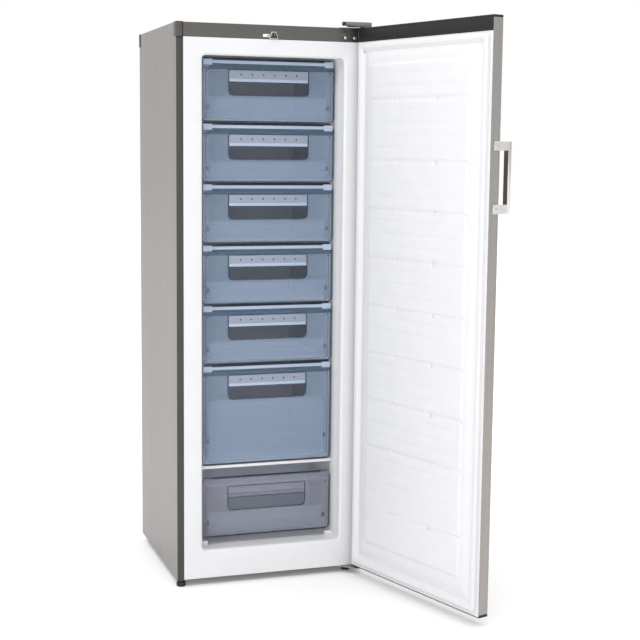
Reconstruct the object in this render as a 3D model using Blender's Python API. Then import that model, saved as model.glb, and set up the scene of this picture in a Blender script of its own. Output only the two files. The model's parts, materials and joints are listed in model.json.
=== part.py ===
"""Tall upright freezer with one door and seven drawers.

The cabinet frame has X to the right, Y to the back from the plane of the cabinet's front flange,
and Z up from the floor, with X = 0 in the middle of the cabinet. The whole assembly hangs on one
empty, which carries it to an origin below the middle of the assembly's own box. Metres throughout.
"""

import math

import bmesh
import bpy
from mathutils import Vector

# Cabinet.
WIDTH = 0.600
DEPTH = 0.5465
TOP = 1.700
UNDERSIDE = 0.022
SHEET = 0.0010
GAP = 0.0003
RETURN_WIDTH = 0.021
FASCIA_BOTTOM = 1.658
FASCIA_DEPTH = 0.030
TRIM_BOTTOM = FASCIA_BOTTOM + 0.0015
TRIM_WRAP = 0.0197
HALF = WIDTH / 2

# Storage space inside the liner.
MOUTH_HALF = 0.2205
MOUTH_BOTTOM = 0.110
MOUTH_TOP = 1.607
MOUTH_RADIUS = 0.012
LINER_SHEET = 0.0020
TUB_HALF = 0.2130
TUB_TOP = 1.611
TUB_BACK = 0.475
HUMP_FRONT = 0.285
HUMP_TOP = 0.335

# Machine compartment under the hump.
NICHE_FRONT = 0.345
NICHE_TOP = 0.255

# Drawers, from the top: (top, bottom) of each front.
DRAWER_SPANS = (
    (1.600, 1.4145),
    (1.408, 1.233),
    (1.227, 1.048),
    (1.042, 0.861),
    (0.857, 0.676),
    (0.671, 0.361),
    (0.320, 0.131),
)
FRONT_HALF = 0.2005
FRONT_Y = 0.058
FRONT_SKIN = 0.0030
FRONT_RIM = 0.012
BIN_HALF = 0.1935
BIN_BACK = 0.440
BIN_BACK_SHORT = 0.272
BIN_WALL = 0.0025
WINDOW_HALF = 0.125
WINDOW_TOP = 0.066
WINDOW_BOTTOM = 0.105
SLOT_RADIUS = 0.014
COIL_TUBE = 0.0040

# Door, drawn closed and then swung open about its hinge axis.
DOOR_TOP = 1.6988
DOOR_BOTTOM = 0.0277
DOOR_INNER = -0.012
DOOR_THICKNESS = 0.0355
DOOR_OUTER = DOOR_INNER - DOOR_THICKNESS
DOOR_BAND = 0.042
CAP_PLATE = 0.0080
HINGE_X = 0.281
HINGE_Y = -0.0307
REST_ANGLE = math.radians(106.9)
PIN_RADIUS = 0.0040
GASKET_INSET = 0.0125
GASKET_WIDTH = 0.026
GASKET_STAND = 0.0105
PANEL_LOW_RISE = 0.0084
PANEL_HIGH_RISE = 0.0164
HANDLE_LOW = 1.166
HANDLE_HIGH = 1.363
POST_HEIGHT = 0.025

CORNER_STEPS = 4
ROUND_STEPS = 24


# ---------------------------------------------------------------- materials

def material(name, colour, roughness, metallic=0.0, alpha=1.0):
    """A Principled material; colour is linear RGB."""
    made = bpy.data.materials.get(name) or bpy.data.materials.new(name)
    made.use_nodes = True
    shader = made.node_tree.nodes["Principled BSDF"]
    shader.inputs["Base Color"].default_value = (*colour, 1.0)
    shader.inputs["Roughness"].default_value = roughness
    shader.inputs["Metallic"].default_value = metallic
    shader.inputs["Alpha"].default_value = alpha
    return made


def finishes():
    """Every material of the freezer, by slot name."""
    return {
        "side_steel": material("side_steel", (0.42, 0.40, 0.39), 0.38, 0.6),
        "door_steel": material("door_steel", (0.47, 0.45, 0.43), 0.32, 0.9),
        "dark_trim": material("dark_trim", (0.13, 0.12, 0.11), 0.45),
        "black_plastic": material("black_plastic", (0.012, 0.012, 0.012), 0.5),
        "white_liner": material("white_liner", (0.87, 0.87, 0.89), 0.35),
        "gasket": material("gasket", (0.78, 0.78, 0.79), 0.6),
        "foam": material("foam", (0.76, 0.66, 0.38), 0.9),
        "drawer_front": material("drawer_front", (0.20, 0.26, 0.38), 0.12, 0.0, 0.45),
        "drawer_bin": material("drawer_bin", (0.42, 0.52, 0.66), 0.2, 0.0, 0.5),
        "evaporator": material("evaporator", (0.82, 0.83, 0.84), 0.4, 0.2),
        "zinc": material("zinc", (0.55, 0.55, 0.54), 0.35, 1.0),
        "handle": material("handle", (0.60, 0.59, 0.57), 0.28, 1.0),
        "copper": material("copper", (0.72, 0.36, 0.22), 0.35, 1.0),
        "white_mark": material("white_mark", (0.85, 0.85, 0.85), 0.4),
        "grey_knob": material("grey_knob", (0.42, 0.41, 0.40), 0.4),
    }


# ---------------------------------------------------------------- geometry helpers

def empty(name, location, parent=None):
    """A joint's axis or the assembly's own frame."""
    made = bpy.data.objects.new(name, None)
    made.empty_display_size = 0.05
    made.location = location
    made.parent = parent
    bpy.context.scene.collection.objects.link(made)
    return made


def piece(name, mesh, finish, parent, shift=(0.0, 0.0, 0.0)):
    """One named object; shift moves its mesh, as from the cabinet frame to a joint's frame."""
    bmesh.ops.translate(mesh, vec=Vector(shift), verts=mesh.verts)
    bmesh.ops.recalc_face_normals(mesh, faces=mesh.faces)
    data = bpy.data.meshes.new(name)
    mesh.to_mesh(data)
    mesh.free()
    data.materials.append(finish)
    data.shade_smooth()
    data.set_sharp_from_angle(angle=math.radians(32))
    made = bpy.data.objects.new(name, data)
    made.parent = parent
    bpy.context.scene.collection.objects.link(made)
    return made


def join_or_cut(target, other, operation):
    """Adds other to target, or cuts it away, with a Boolean that stays on target."""
    other.hide_render = True
    other.display_type = "WIRE"
    step = target.modifiers.new(other.name, "BOOLEAN")
    step.operation = operation
    step.object = other
    step.solver = "EXACT"


def loft(rings, closed=False):
    """Skins rings of equal length; the ends are capped, or joined when closed."""
    mesh = bmesh.new()
    made = [[mesh.verts.new(point) for point in ring] for ring in rings]
    count = len(rings[0])
    pairs = list(zip(made, made[1:]))
    if closed:
        pairs.append((made[-1], made[0]))
    for near, far in pairs:
        for i in range(count):
            j = (i + 1) % count
            mesh.faces.new((near[i], near[j], far[j], far[i]))
    if not closed:
        mesh.faces.new(made[0])
        mesh.faces.new(list(reversed(made[-1])))
    return mesh


def block(low, high):
    """A plain box between two corners."""
    (x0, y0, z0), (x1, y1, z1) = low, high
    ring = [(x0, y0), (x1, y0), (x1, y1), (x0, y1)]
    return loft([[(x, y, z) for x, y in ring] for z in (z0, z1)])


def prism_x(outline, x0, x1):
    """An outline of (y, z) points drawn out along X."""
    return loft([[(x, y, z) for y, z in outline] for x in (x0, x1)])


def prism_z(outline, z0, z1):
    """An outline of (x, y) points drawn out along Z."""
    return loft([[(x, y, z) for x, y in outline] for z in (z0, z1)])


def rounded(half_width, low, high, radius, centre=0.0, steps=CORNER_STEPS):
    """Points of a rectangle with round corners, as (across, up) pairs."""
    points = []
    corners = (
        (centre + half_width - radius, high - radius, 0),
        (centre - half_width + radius, high - radius, 90),
        (centre - half_width + radius, low + radius, 180),
        (centre + half_width - radius, low + radius, 270),
    )
    for across, up, start in corners:
        for step in range(steps + 1):
            turn = math.radians(start + 90 * step / steps)
            points.append((across + radius * math.cos(turn), up + radius * math.sin(turn)))
    return points


def upright(outline, y):
    """An outline of (x, z) pairs stood up at depth y."""
    return [(x, y, z) for x, z in outline]


def flat(outline, z):
    """An outline of (x, y) pairs laid at height z."""
    return [(x, y, z) for x, y in outline]


def turned(profile, centre, axis="Z", steps=ROUND_STEPS):
    """A solid of revolution; profile is (radius, along) pairs, and its ends are capped."""
    rings = []
    for radius, along in profile:
        ring = []
        for step in range(steps):
            turn = 2 * math.pi * step / steps
            a, b = radius * math.cos(turn), radius * math.sin(turn)
            offset = {"Z": (a, b, along), "Y": (a, along, b), "X": (along, a, b)}[axis]
            ring.append(tuple(c + o for c, o in zip(centre, offset)))
        rings.append(ring)
    return loft(rings)


def tube(name, route, radius, finish, parent):
    """A bent tube along a polyline, with filled ends."""
    data = bpy.data.curves.new(name, "CURVE")
    data.dimensions = "3D"
    data.bevel_depth = radius
    data.bevel_resolution = 1
    data.use_fill_caps = True
    spline = data.splines.new("POLY")
    spline.points.add(len(route) - 1)
    for point, place in zip(spline.points, route):
        point.co = (*place, 1.0)
    data.materials.append(finish)
    made = bpy.data.objects.new(name, data)
    made.parent = parent
    bpy.context.scene.collection.objects.link(made)
    return made


def serpentine(x_half, start, pitch, runs, steps=4):
    """(across, along) points of a tube that goes to and fro with half-round bends."""
    points = []
    bend = pitch / 2
    for run in range(runs):
        side = 1 if run % 2 == 0 else -1
        along = start + run * pitch
        points.append((-side * (x_half - bend), along))
        points.append((side * (x_half - bend), along))
        if run < runs - 1:
            for step in range(1, steps):
                turn = math.pi * step / steps
                across = side * (x_half - bend + bend * math.sin(turn))
                points.append((across, along + bend - bend * math.cos(turn)))
    return points


# ---------------------------------------------------------------- cabinet

def side_panel(name, side, finish, root):
    """A steel side with its front edge folded in as a return; side is -1 left, +1 right."""
    outer, inner = side * HALF, side * (HALF - SHEET)
    fold = side * (HALF - RETURN_WIDTH)
    outline = [
        (outer, 0.0),
        (fold, 0.0),
        (fold, SHEET),
        (inner, SHEET),
        (inner, DEPTH),
        (outer, DEPTH),
    ]
    panel = piece(name, prism_z(outline, UNDERSIDE, TOP), finish, root)
    beyond = HALF + 0.01
    corners = (
        ("front", -0.01, FASCIA_DEPTH + GAP, FASCIA_BOTTOM - GAP),
        ("rear", DEPTH - TRIM_WRAP - GAP, DEPTH + 0.01, TRIM_BOTTOM - GAP),
    )
    for end, near, far, low in corners:
        corner = block((-beyond, near, low), (beyond, far, TOP + 0.01))
        join_or_cut(panel, piece(f"{name}_{end}_cutter", corner, finish, root), "DIFFERENCE")
    return panel


def rear_trim(finish, root):
    """The moulded strip along the rear top edge, which wraps both corners of the cabinet."""
    out, inside = HALF + 0.0010, HALF - 0.0010
    near, far = DEPTH - TRIM_WRAP, DEPTH + 0.0035
    plan = [
        (out, near),
        (out, far),
        (-out, far),
        (-out, near),
        (-inside, near),
        (-inside, DEPTH + GAP),
        (inside, DEPTH + GAP),
        (inside, near),
    ]
    trim = piece("rear_top_trim", prism_z(plan, TRIM_BOTTOM, TOP + 0.0010), finish, root)
    lip = block((-HALF, DEPTH - 0.0085, TOP - 0.0022), (HALF, DEPTH + 0.0020, TOP + 0.0005))
    join_or_cut(trim, piece("trim_lip", lip, finish, root), "UNION")


def cabinet_skin(looks, root):
    """Sides, top, back, base and the trim along the rear top edge."""
    side_panel("left_side_panel", -1, looks["side_steel"], root)
    side_panel("right_side_panel", 1, looks["side_steel"], root)
    inside = HALF - SHEET - GAP
    lid = block((-inside, FASCIA_DEPTH + GAP, TOP - 0.0025), (inside, DEPTH - 0.009, TOP - 0.0005))
    piece("top_panel", lid, looks["dark_trim"], root)
    sheet = 0.0012
    back = block(
        (-inside, DEPTH - sheet, NICHE_TOP + 0.002),
        (inside, DEPTH, FASCIA_BOTTOM + 0.001),
    )
    piece("back_panel", back, looks["zinc"], root)
    base_line = [
        (0.0026, UNDERSIDE + 0.0005),
        (NICHE_FRONT, UNDERSIDE + 0.0005),
        (NICHE_FRONT, NICHE_TOP - sheet),
        (DEPTH - GAP, NICHE_TOP - sheet),
        (DEPTH - GAP, NICHE_TOP),
        (NICHE_FRONT - sheet, NICHE_TOP),
        (NICHE_FRONT - sheet, UNDERSIDE + 0.0005 + sheet),
        (0.0026, UNDERSIDE + 0.0005 + sheet),
    ]
    piece("base_panel", prism_x(base_line, -inside, inside), looks["zinc"], root)
    rear_trim(looks["black_plastic"], root)


def tub_ring(half, low, high, y, radius=MOUTH_RADIUS):
    """One upright ring of the storage tub."""
    return upright(rounded(half, low, high, radius), y)


def liner_rings(grow):
    """The tub's surface from its mouth to its back wall, grown outwards by a sheet or a gap."""
    radius = MOUTH_RADIUS + grow
    return [
        tub_ring(MOUTH_HALF + grow, MOUTH_BOTTOM - grow, MOUTH_TOP + grow, 0.012, radius),
        tub_ring(TUB_HALF + grow, MOUTH_BOTTOM - grow, TUB_TOP + grow, 0.040, radius),
        tub_ring(TUB_HALF + grow, MOUTH_BOTTOM - grow, TUB_TOP + grow, HUMP_FRONT - grow, radius),
        tub_ring(TUB_HALF + grow, HUMP_TOP - grow, TUB_TOP + grow, HUMP_FRONT + 0.012 - grow, radius),
        tub_ring(TUB_HALF + grow, HUMP_TOP - grow, TUB_TOP + grow, TUB_BACK + grow, radius),
    ]


def cabinet_liner(looks, root):
    """One moulded sheet: the white front flange and the tub behind it, with a hump at the bottom."""
    flange_half = HALF - RETURN_WIDTH - GAP
    flange_low, flange_high = UNDERSIDE + 0.0005, FASCIA_BOTTOM - GAP
    lip = 0.008
    edge = rounded(flange_half, flange_low, flange_high, 0.0008)
    mouth = rounded(MOUTH_HALF + lip, MOUTH_BOTTOM - lip, MOUTH_TOP + lip, MOUTH_RADIUS + lip)
    turn = 0.002
    turn_in = rounded(MOUTH_HALF + turn, MOUTH_BOTTOM - turn, MOUTH_TOP + turn, MOUTH_RADIUS + turn)
    inside = [upright(edge, 0.0), upright(mouth, 0.0), upright(turn_in, 0.0032)]
    inside += liner_rings(0.0)
    outside = [upright(edge, LINER_SHEET), upright(mouth, LINER_SHEET + 0.0012)]
    outside += liner_rings(LINER_SHEET)
    rings = list(reversed(inside)) + outside
    piece("cabinet_liner", loft(rings), looks["white_liner"], root)


def cabinet_foam(looks, root):
    """Foamed insulation between the liner and the skin, clear of the machine compartment."""
    clear = SHEET + 2 * GAP
    half = HALF - clear
    low = UNDERSIDE + 0.0022
    under_fascia = FASCIA_BOTTOM - 0.004
    under_lid = TOP - 0.0030
    back = DEPTH - 0.0090
    over_niche = NICHE_TOP + GAP
    front = LINER_SHEET + 0.0018
    edge = 0.0008

    def outer(bottom, top, y):
        return upright(rounded(half, bottom, top, edge), y)

    skin = [
        outer(low, under_fascia, front),
        outer(low, under_fascia, FASCIA_DEPTH + 2 * GAP),
        outer(low, under_lid, FASCIA_DEPTH + 2 * GAP + 0.0005),
        outer(low, under_lid, NICHE_FRONT - 0.0020),
        outer(over_niche, under_lid, NICHE_FRONT - 0.0015),
        outer(over_niche, under_lid, back),
    ]
    grow = LINER_SHEET + 2 * GAP
    lip = 0.008 + 2 * GAP
    mouth = rounded(MOUTH_HALF + lip, MOUTH_BOTTOM - lip, MOUTH_TOP + lip, MOUTH_RADIUS + lip)
    inside = [upright(mouth, front)] + liner_rings(grow)
    piece("cabinet_foam", loft(list(reversed(inside)) + skin), looks["foam"], root)


def fascia(looks, root):
    """The dark band above the door opening: a channel, its two end blocks and the block's screws."""
    low, high = FASCIA_BOTTOM, TOP
    channel = [
        (0.0, low),
        (FASCIA_DEPTH, low),
        (FASCIA_DEPTH, low + 0.0025),
        (0.0025, low + 0.0025),
        (0.0025, high - 0.0025),
        (FASCIA_DEPTH, high - 0.0025),
        (FASCIA_DEPTH, high),
        (0.0, high),
    ]
    left_end, right_start = -0.2750, 0.2060
    band = prism_x(channel, left_end + GAP, right_start - GAP)
    piece("top_fascia", band, looks["dark_trim"], root)
    bevel = 0.0015
    for name, x0, x1, proud in (
        ("fascia_left_block", -HALF - 0.0010, left_end, 0.0015),
        ("fascia_hinge_block", right_start, HALF, 0.0),
    ):
        outline = [
            (x0, -proud + bevel),
            (x0 + bevel, -proud),
            (x1, -proud),
            (x1, FASCIA_DEPTH),
            (x0, FASCIA_DEPTH),
        ]
        piece(name, prism_z(outline, low, high + proud), looks["dark_trim"], root)
    for name, x in (("fascia_screw_left", 0.2230), ("fascia_screw_right", 0.2525)):
        head = [(0.0030, -0.0022), (0.0048, -0.0012), (0.0050, -GAP)]
        piece(name, turned(head, (x, 0.0, 1.671), "Y", 16), looks["zinc"], root)


def controls(looks, root):
    """Scale plate, thermostat escutcheon and the knob that turns in it."""
    plate = block((-0.0370, -0.0012, 1.6645), (-0.0170, -GAP, 1.6730))
    piece("scale_plate", plate, looks["white_mark"], root)
    wedge = [(0.0040, 1.6806), (-0.0110, 1.6806), (-0.0180, 1.6585), (0.0100, 1.6585)]
    body = loft([upright(wedge, -0.0040), upright(wedge, -GAP)])
    escutcheon = piece("thermostat_bezel", body, looks["white_mark"], root)
    centre = (-0.0040, 0.0, 1.6680)
    hole = turned([(0.0066, -0.006), (0.0066, 0.002)], centre, "Y")
    join_or_cut(escutcheon, piece("bezel_cutter", hole, looks["white_mark"], root), "DIFFERENCE")
    spindle = empty("thermostat_spindle", centre, root)
    knob = turned([(0.0050, -0.0070), (0.0060, -0.0062), (0.0063, -GAP)], (0, 0, 0), "Y")
    turning = piece("thermostat_knob", knob, looks["grey_knob"], spindle)
    grip = block((-0.0012, -0.0095, -0.0046), (0.0012, -0.0050, 0.0046))
    join_or_cut(turning, piece("knob_grip", grip, looks["grey_knob"], spindle), "UNION")


def top_hinge(looks, root):
    """A steel leaf over the cabinet top that carries the door's upper pin, under a moulded cover."""
    low = TOP + 0.0006
    leaf = [
        (0.2100, 0.0550),
        (0.2100, 0.0100),
        (HINGE_X - 0.014, -0.0100),
        (HINGE_X - 0.012, HINGE_Y - 0.0100),
        (HINGE_X + 0.012, HINGE_Y - 0.0100),
        (HINGE_X + 0.014, 0.0000),
        (HINGE_X + 0.014, 0.0550),
    ]
    bracket = piece("top_hinge_bracket", prism_z(leaf, low, low + 0.0022), looks["zinc"], root)
    tip = DOOR_TOP - 0.0130
    profile = [(PIN_RADIUS - 0.001, tip), (PIN_RADIUS, tip + 0.001), (PIN_RADIUS, low + 0.001)]
    pin = turned(profile, (HINGE_X, HINGE_Y, 0.0))
    join_or_cut(bracket, piece("top_hinge_pin", pin, looks["zinc"], root), "UNION")
    x0, x1 = 0.2040, 0.2965
    front, rear = -0.0300, 0.0650
    base, crown = low + 0.0022 + GAP, TOP + 0.0165
    rings = [
        flat(rounded((x1 - x0) / 2, front, rear, 0.006, (x0 + x1) / 2), base),
        flat(rounded((x1 - x0) / 2, front, rear, 0.006, (x0 + x1) / 2), crown - 0.003),
        flat(rounded((x1 - x0) / 2 - 0.003, front + 0.003, rear - 0.003, 0.006, (x0 + x1) / 2), crown),
    ]
    piece("top_hinge_cover", loft(rings), looks["dark_trim"], root)


def bottom_hinge(looks, root):
    """A steel angle under the cabinet front with the door's lower pin standing on it."""
    low, high = UNDERSIDE - 0.0030, UNDERSIDE - 0.0005
    leaf = [
        (0.2200, 0.0700),
        (0.2200, 0.0060),
        (HINGE_X - 0.012, HINGE_Y - 0.0080),
        (HINGE_X + 0.010, HINGE_Y - 0.0080),
        (HINGE_X + 0.016, 0.0060),
        (HINGE_X + 0.016, 0.0700),
    ]
    bracket = piece("bottom_hinge_bracket", prism_z(leaf, low, high), looks["zinc"], root)
    tip = DOOR_BOTTOM + 0.0070
    profile = [(PIN_RADIUS, low + 0.001), (PIN_RADIUS, tip - 0.001), (PIN_RADIUS - 0.001, tip)]
    pin = turned(profile, (HINGE_X, HINGE_Y, 0.0))
    join_or_cut(bracket, piece("bottom_hinge_pin", pin, looks["zinc"], root), "UNION")
    hole = turned([(0.0062, low - 0.01), (0.0062, high + 0.01)], (0.2550, 0.0300, 0.0))
    join_or_cut(bracket, piece("bracket_foot_hole", hole, looks["zinc"], root), "DIFFERENCE")


def feet(looks, root):
    """Two screw feet at the front, each on its own axis, and two fixed glides at the back."""
    for name, x in (("front_left_foot", -0.2850), ("front_right_foot", 0.2550)):
        y = 0.0300 if x > 0 else 0.0160
        axis = empty(name + "_axis", (x, y, 0.0), root)
        profile = [
            (0.0120, 0.0),
            (0.0140, 0.0020),
            (0.0145, 0.0100),
            (0.0130, 0.0150),
            (0.0050, 0.0165),
            (0.0050, UNDERSIDE + 0.0001),
        ]
        piece(name, turned(profile, (0, 0, 0)), looks["black_plastic"], axis)
    for name, x in (("rear_left_foot", -0.2600), ("rear_right_foot", 0.2600)):
        profile = [
            (0.0150, 0.0),
            (0.0165, 0.0015),
            (0.0165, 0.0120),
            (0.0100, 0.0135),
            (0.0100, UNDERSIDE - GAP),
        ]
        piece(name, turned(profile, (x, 0.4900, 0.0)), looks["black_plastic"], root)


def machine(looks, root):
    """Compressor with its relay and outlet pipe on a cross tray in the compartment at the back."""
    floor = UNDERSIDE
    tray_y0, tray_y1 = NICHE_FRONT + 0.015, DEPTH - 0.006
    half = HALF - SHEET - GAP
    lip = 0.014
    tray = [
        (tray_y0, floor + lip),
        (tray_y0, floor),
        (tray_y1, floor),
        (tray_y1, floor + lip),
        (tray_y1 - 0.0015, floor + lip),
        (tray_y1 - 0.0015, floor + 0.0015),
        (tray_y0 + 0.0015, floor + 0.0015),
        (tray_y0 + 0.0015, floor + lip),
    ]
    piece("compressor_tray", prism_x(tray, -half, half), looks["zinc"], root)
    x, y = -0.0900, 0.4520
    seat = floor + 0.0015 + GAP
    sole = rounded(0.085, y - 0.055, y + 0.055, 0.014, x)
    plate = loft([flat(sole, seat + 0.010), flat(sole, seat + 0.012)])
    mount = piece("compressor_mount", plate, looks["zinc"], root)
    for index, (side, end) in enumerate(((-1, -1), (-1, 1), (1, -1), (1, 1))):
        spot = (x + side * 0.070, y + end * 0.040, 0.0)
        stud = turned([(0.009, seat), (0.009, seat + 0.011)], spot, steps=12)
        join_or_cut(mount, piece(f"mount_stud_{index}", stud, looks["zinc"], root), "UNION")
    low = seat + 0.012 + GAP
    shell, reach, half_height = [], math.radians(80), 0.078
    for step in range(9):
        turn = reach * (step - 4) / 4
        rise = half_height * (1 + math.sin(turn) / math.sin(reach))
        shell.append((0.062 * math.cos(turn) ** 0.55, low + rise))
    piece("compressor", turned(shell, (x, y, 0.0)), looks["black_plastic"], root)
    relay = block((x + 0.066, y - 0.032, low + 0.020), (x + 0.105, y + 0.032, low + 0.095))
    piece("start_relay", relay, looks["black_plastic"], root)
    pipe = []
    bottom, ceiling, sideways = low + 0.156 + 0.0012, NICHE_TOP - 0.0040, 0.045
    for step in range(13):
        part = step / 12
        across = x + sideways * (1 - math.cos(math.pi * part)) / 2
        pipe.append((across, y, bottom + (ceiling - bottom) * part))
    tube("discharge_pipe", pipe, 0.0030, looks["copper"], root)
    gland_y = tray_y1 + GAP
    gland_at = (0.1900, gland_y, floor + 0.030)
    gland = turned([(0.0110, 0.0), (0.0110, 0.0060), (0.0080, 0.0085)], gland_at, "Y")
    yoke = block((0.1760, gland_y, floor + 0.0010), (0.2040, gland_y + 0.0025, floor + 0.030))
    clamp = piece("mains_gland", gland, looks["black_plastic"], root)
    join_or_cut(clamp, piece("gland_yoke", yoke, looks["black_plastic"], root), "UNION")


def cooling(looks, root):
    """Condenser pipe behind the foam, and the evaporator: six shelf coils and the pipe that feeds them."""
    wall = DEPTH - 0.0012 - GAP - 0.0035
    route = [(x, wall, z) for x, z in serpentine(0.260, 0.320, 0.110, 12, 5)]
    tube("condenser_pipe", route, 0.0030, looks["copper"], root)
    for number, (_, low) in enumerate(DRAWER_SPANS[:-1], start=1):
        height = low + 0.0065
        route = [(x, y, height) for x, y in serpentine(0.2040, 0.0950, 0.0460, 8)]
        tube(f"shelf_coil_{number}", route, COIL_TUBE, looks["evaporator"], root)
    riser = [(0.1950, 0.4620, z) for z in (0.3700, 0.9000, 1.4300)]
    tube("evaporator_riser", riser, COIL_TUBE, looks["evaporator"], root)


# ---------------------------------------------------------------- drawers

def drawer_front(number, top, low, looks, slide, shift):
    """A tinted front with a turned-back rim and a slot for the hand near its top."""
    rim, skin, radius = FRONT_RIM, FRONT_SKIN, 0.012
    slot_low, slot_high = top - WINDOW_BOTTOM, top - WINDOW_TOP
    outer = rounded(FRONT_HALF, low, top, radius)
    inner = rounded(FRONT_HALF - skin, low + skin, top - skin, radius - skin)
    slot = rounded(WINDOW_HALF, slot_low, slot_high, SLOT_RADIUS)
    rings = [
        upright(slot, FRONT_Y),
        upright(outer, FRONT_Y),
        upright(outer, FRONT_Y + rim),
        upright(inner, FRONT_Y + rim),
        upright(inner, FRONT_Y + skin),
        upright(slot, FRONT_Y + skin),
    ]
    piece(f"drawer_{number}_front", loft(rings, closed=True), looks["drawer_front"], slide, shift)


def drawer_bin(number, top, low, back, looks, slide, shift):
    """The tub that clips behind a front, its own front wall cut down for the hand."""
    front = FRONT_Y + FRONT_RIM + GAP
    floor = low + (0.0125 if number < len(DRAWER_SPANS) else GAP)
    rim = top - 0.014
    taper, lip = 0.006, 0.006

    def ring(half, near, far, z):
        return flat(rounded(half, near, far, 0.010), z)

    wall = BIN_WALL
    base = (BIN_HALF - taper, front + 0.004, back - taper)
    head = (BIN_HALF, front + 0.002, back)
    rings = [
        ring(*base, floor),
        ring(head[0], head[1], head[2], rim - wall),
        ring(head[0] + lip, head[1] - 0.002, head[2] + lip, rim - wall),
        ring(head[0] + lip, head[1] - 0.002, head[2] + lip, rim),
        ring(head[0] - wall, head[1] + wall, head[2] - wall, rim),
        ring(base[0] - wall, base[1] + wall, base[2] - wall, floor + wall),
    ]
    tub = piece(f"drawer_{number}_bin", loft(rings), looks["drawer_bin"], slide, shift)
    beyond = BIN_HALF + 0.02
    notch = block((-beyond, front - 0.01, top - 0.118), (beyond, front + 0.012, top + 0.02))
    cutter = piece(f"bin_notch_{number}", notch, looks["drawer_bin"], slide, shift)
    join_or_cut(tub, cutter, "DIFFERENCE")


def drawers(looks, root):
    """Seven drawers, each with its own empty that slides along -Y."""
    for number, (top, low) in enumerate(DRAWER_SPANS, start=1):
        back = BIN_BACK if number < len(DRAWER_SPANS) else BIN_BACK_SHORT
        place = Vector((0.0, FRONT_Y, low))
        slide = empty(f"drawer_{number}_slide", place, root)
        drawer_front(number, top, low, looks, slide, -place)
        drawer_bin(number, top, low, back, looks, slide, -place)


# ---------------------------------------------------------------- door

def door_skin(looks, hinge, shift):
    """The folded steel front of the door, as a pan open to the cabinet."""
    bend = 0.0030
    low, high = DOOR_BOTTOM + CAP_PLATE + GAP, DOOR_TOP - 0.0066 - GAP

    def half_section(side):
        points = [(side * HALF, DOOR_INNER - GAP)]
        for step in range(4):
            turn = math.radians(90 * step / 3)
            x = HALF - bend + bend * math.cos(turn)
            points.append((side * x, DOOR_OUTER + bend - bend * math.sin(turn)))
        return points

    right, left = half_section(1), half_section(-1)
    x, y = HALF - SHEET, DOOR_OUTER + SHEET
    inside = [(-x, DOOR_INNER - GAP), (-x, y), (x, y), (x, DOOR_INNER - GAP)]
    outline = right + list(reversed(left)) + inside
    piece("door_panel", prism_z(outline, low, high), looks["door_steel"], hinge, shift)


def door_caps(looks, hinge, shift):
    """Moulded ends of the door, each with a hole for a hinge pin; the top one has a band inside."""
    plate_low = DOOR_TOP - 0.0066
    plug_half = HALF - SHEET - GAP
    plug_front = DOOR_OUTER + SHEET + GAP
    top_plate = flat(rounded(HALF, DOOR_OUTER, DOOR_INNER, 0.003), 0.0)
    rings = [[(x, y, z) for x, y, _ in top_plate] for z in (plate_low, DOOR_TOP)]
    cap = piece("door_top_cap", loft(rings), looks["dark_trim"], hinge, shift)
    plug = [
        (DOOR_INNER, DOOR_TOP - 0.003),
        (plug_front, DOOR_TOP - 0.003),
        (plug_front, DOOR_TOP - 0.020),
        (DOOR_INNER - 0.0025, DOOR_TOP - 0.020),
        (DOOR_INNER - 0.0025, DOOR_TOP - DOOR_BAND),
        (DOOR_INNER, DOOR_TOP - DOOR_BAND),
    ]
    skirt = piece("cap_plug", prism_x(plug, -plug_half, plug_half), looks["dark_trim"], hinge, shift)
    join_or_cut(cap, skirt, "UNION")
    bore = PIN_RADIUS + GAP
    hole = turned([(bore, DOOR_TOP - 0.0150), (bore, DOOR_TOP + 0.01)], (HINGE_X, HINGE_Y, 0.0))
    join_or_cut(cap, piece("cap_hole_top", hole, looks["dark_trim"], hinge, shift), "DIFFERENCE")

    outline = rounded(HALF, DOOR_OUTER, DOOR_INNER, 0.003)
    rings = [flat(outline, DOOR_BOTTOM), flat(outline, DOOR_BOTTOM + CAP_PLATE)]
    foot = piece("door_bottom_cap", loft(rings), looks["black_plastic"], hinge, shift)
    through = [(bore, DOOR_BOTTOM - 0.01), (bore, DOOR_BOTTOM + CAP_PLATE + 0.01)]
    hole = turned(through, (HINGE_X, HINGE_Y, 0.0))
    join_or_cut(foot, piece("cap_hole_bottom", hole, looks["black_plastic"], hinge, shift), "DIFFERENCE")


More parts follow.
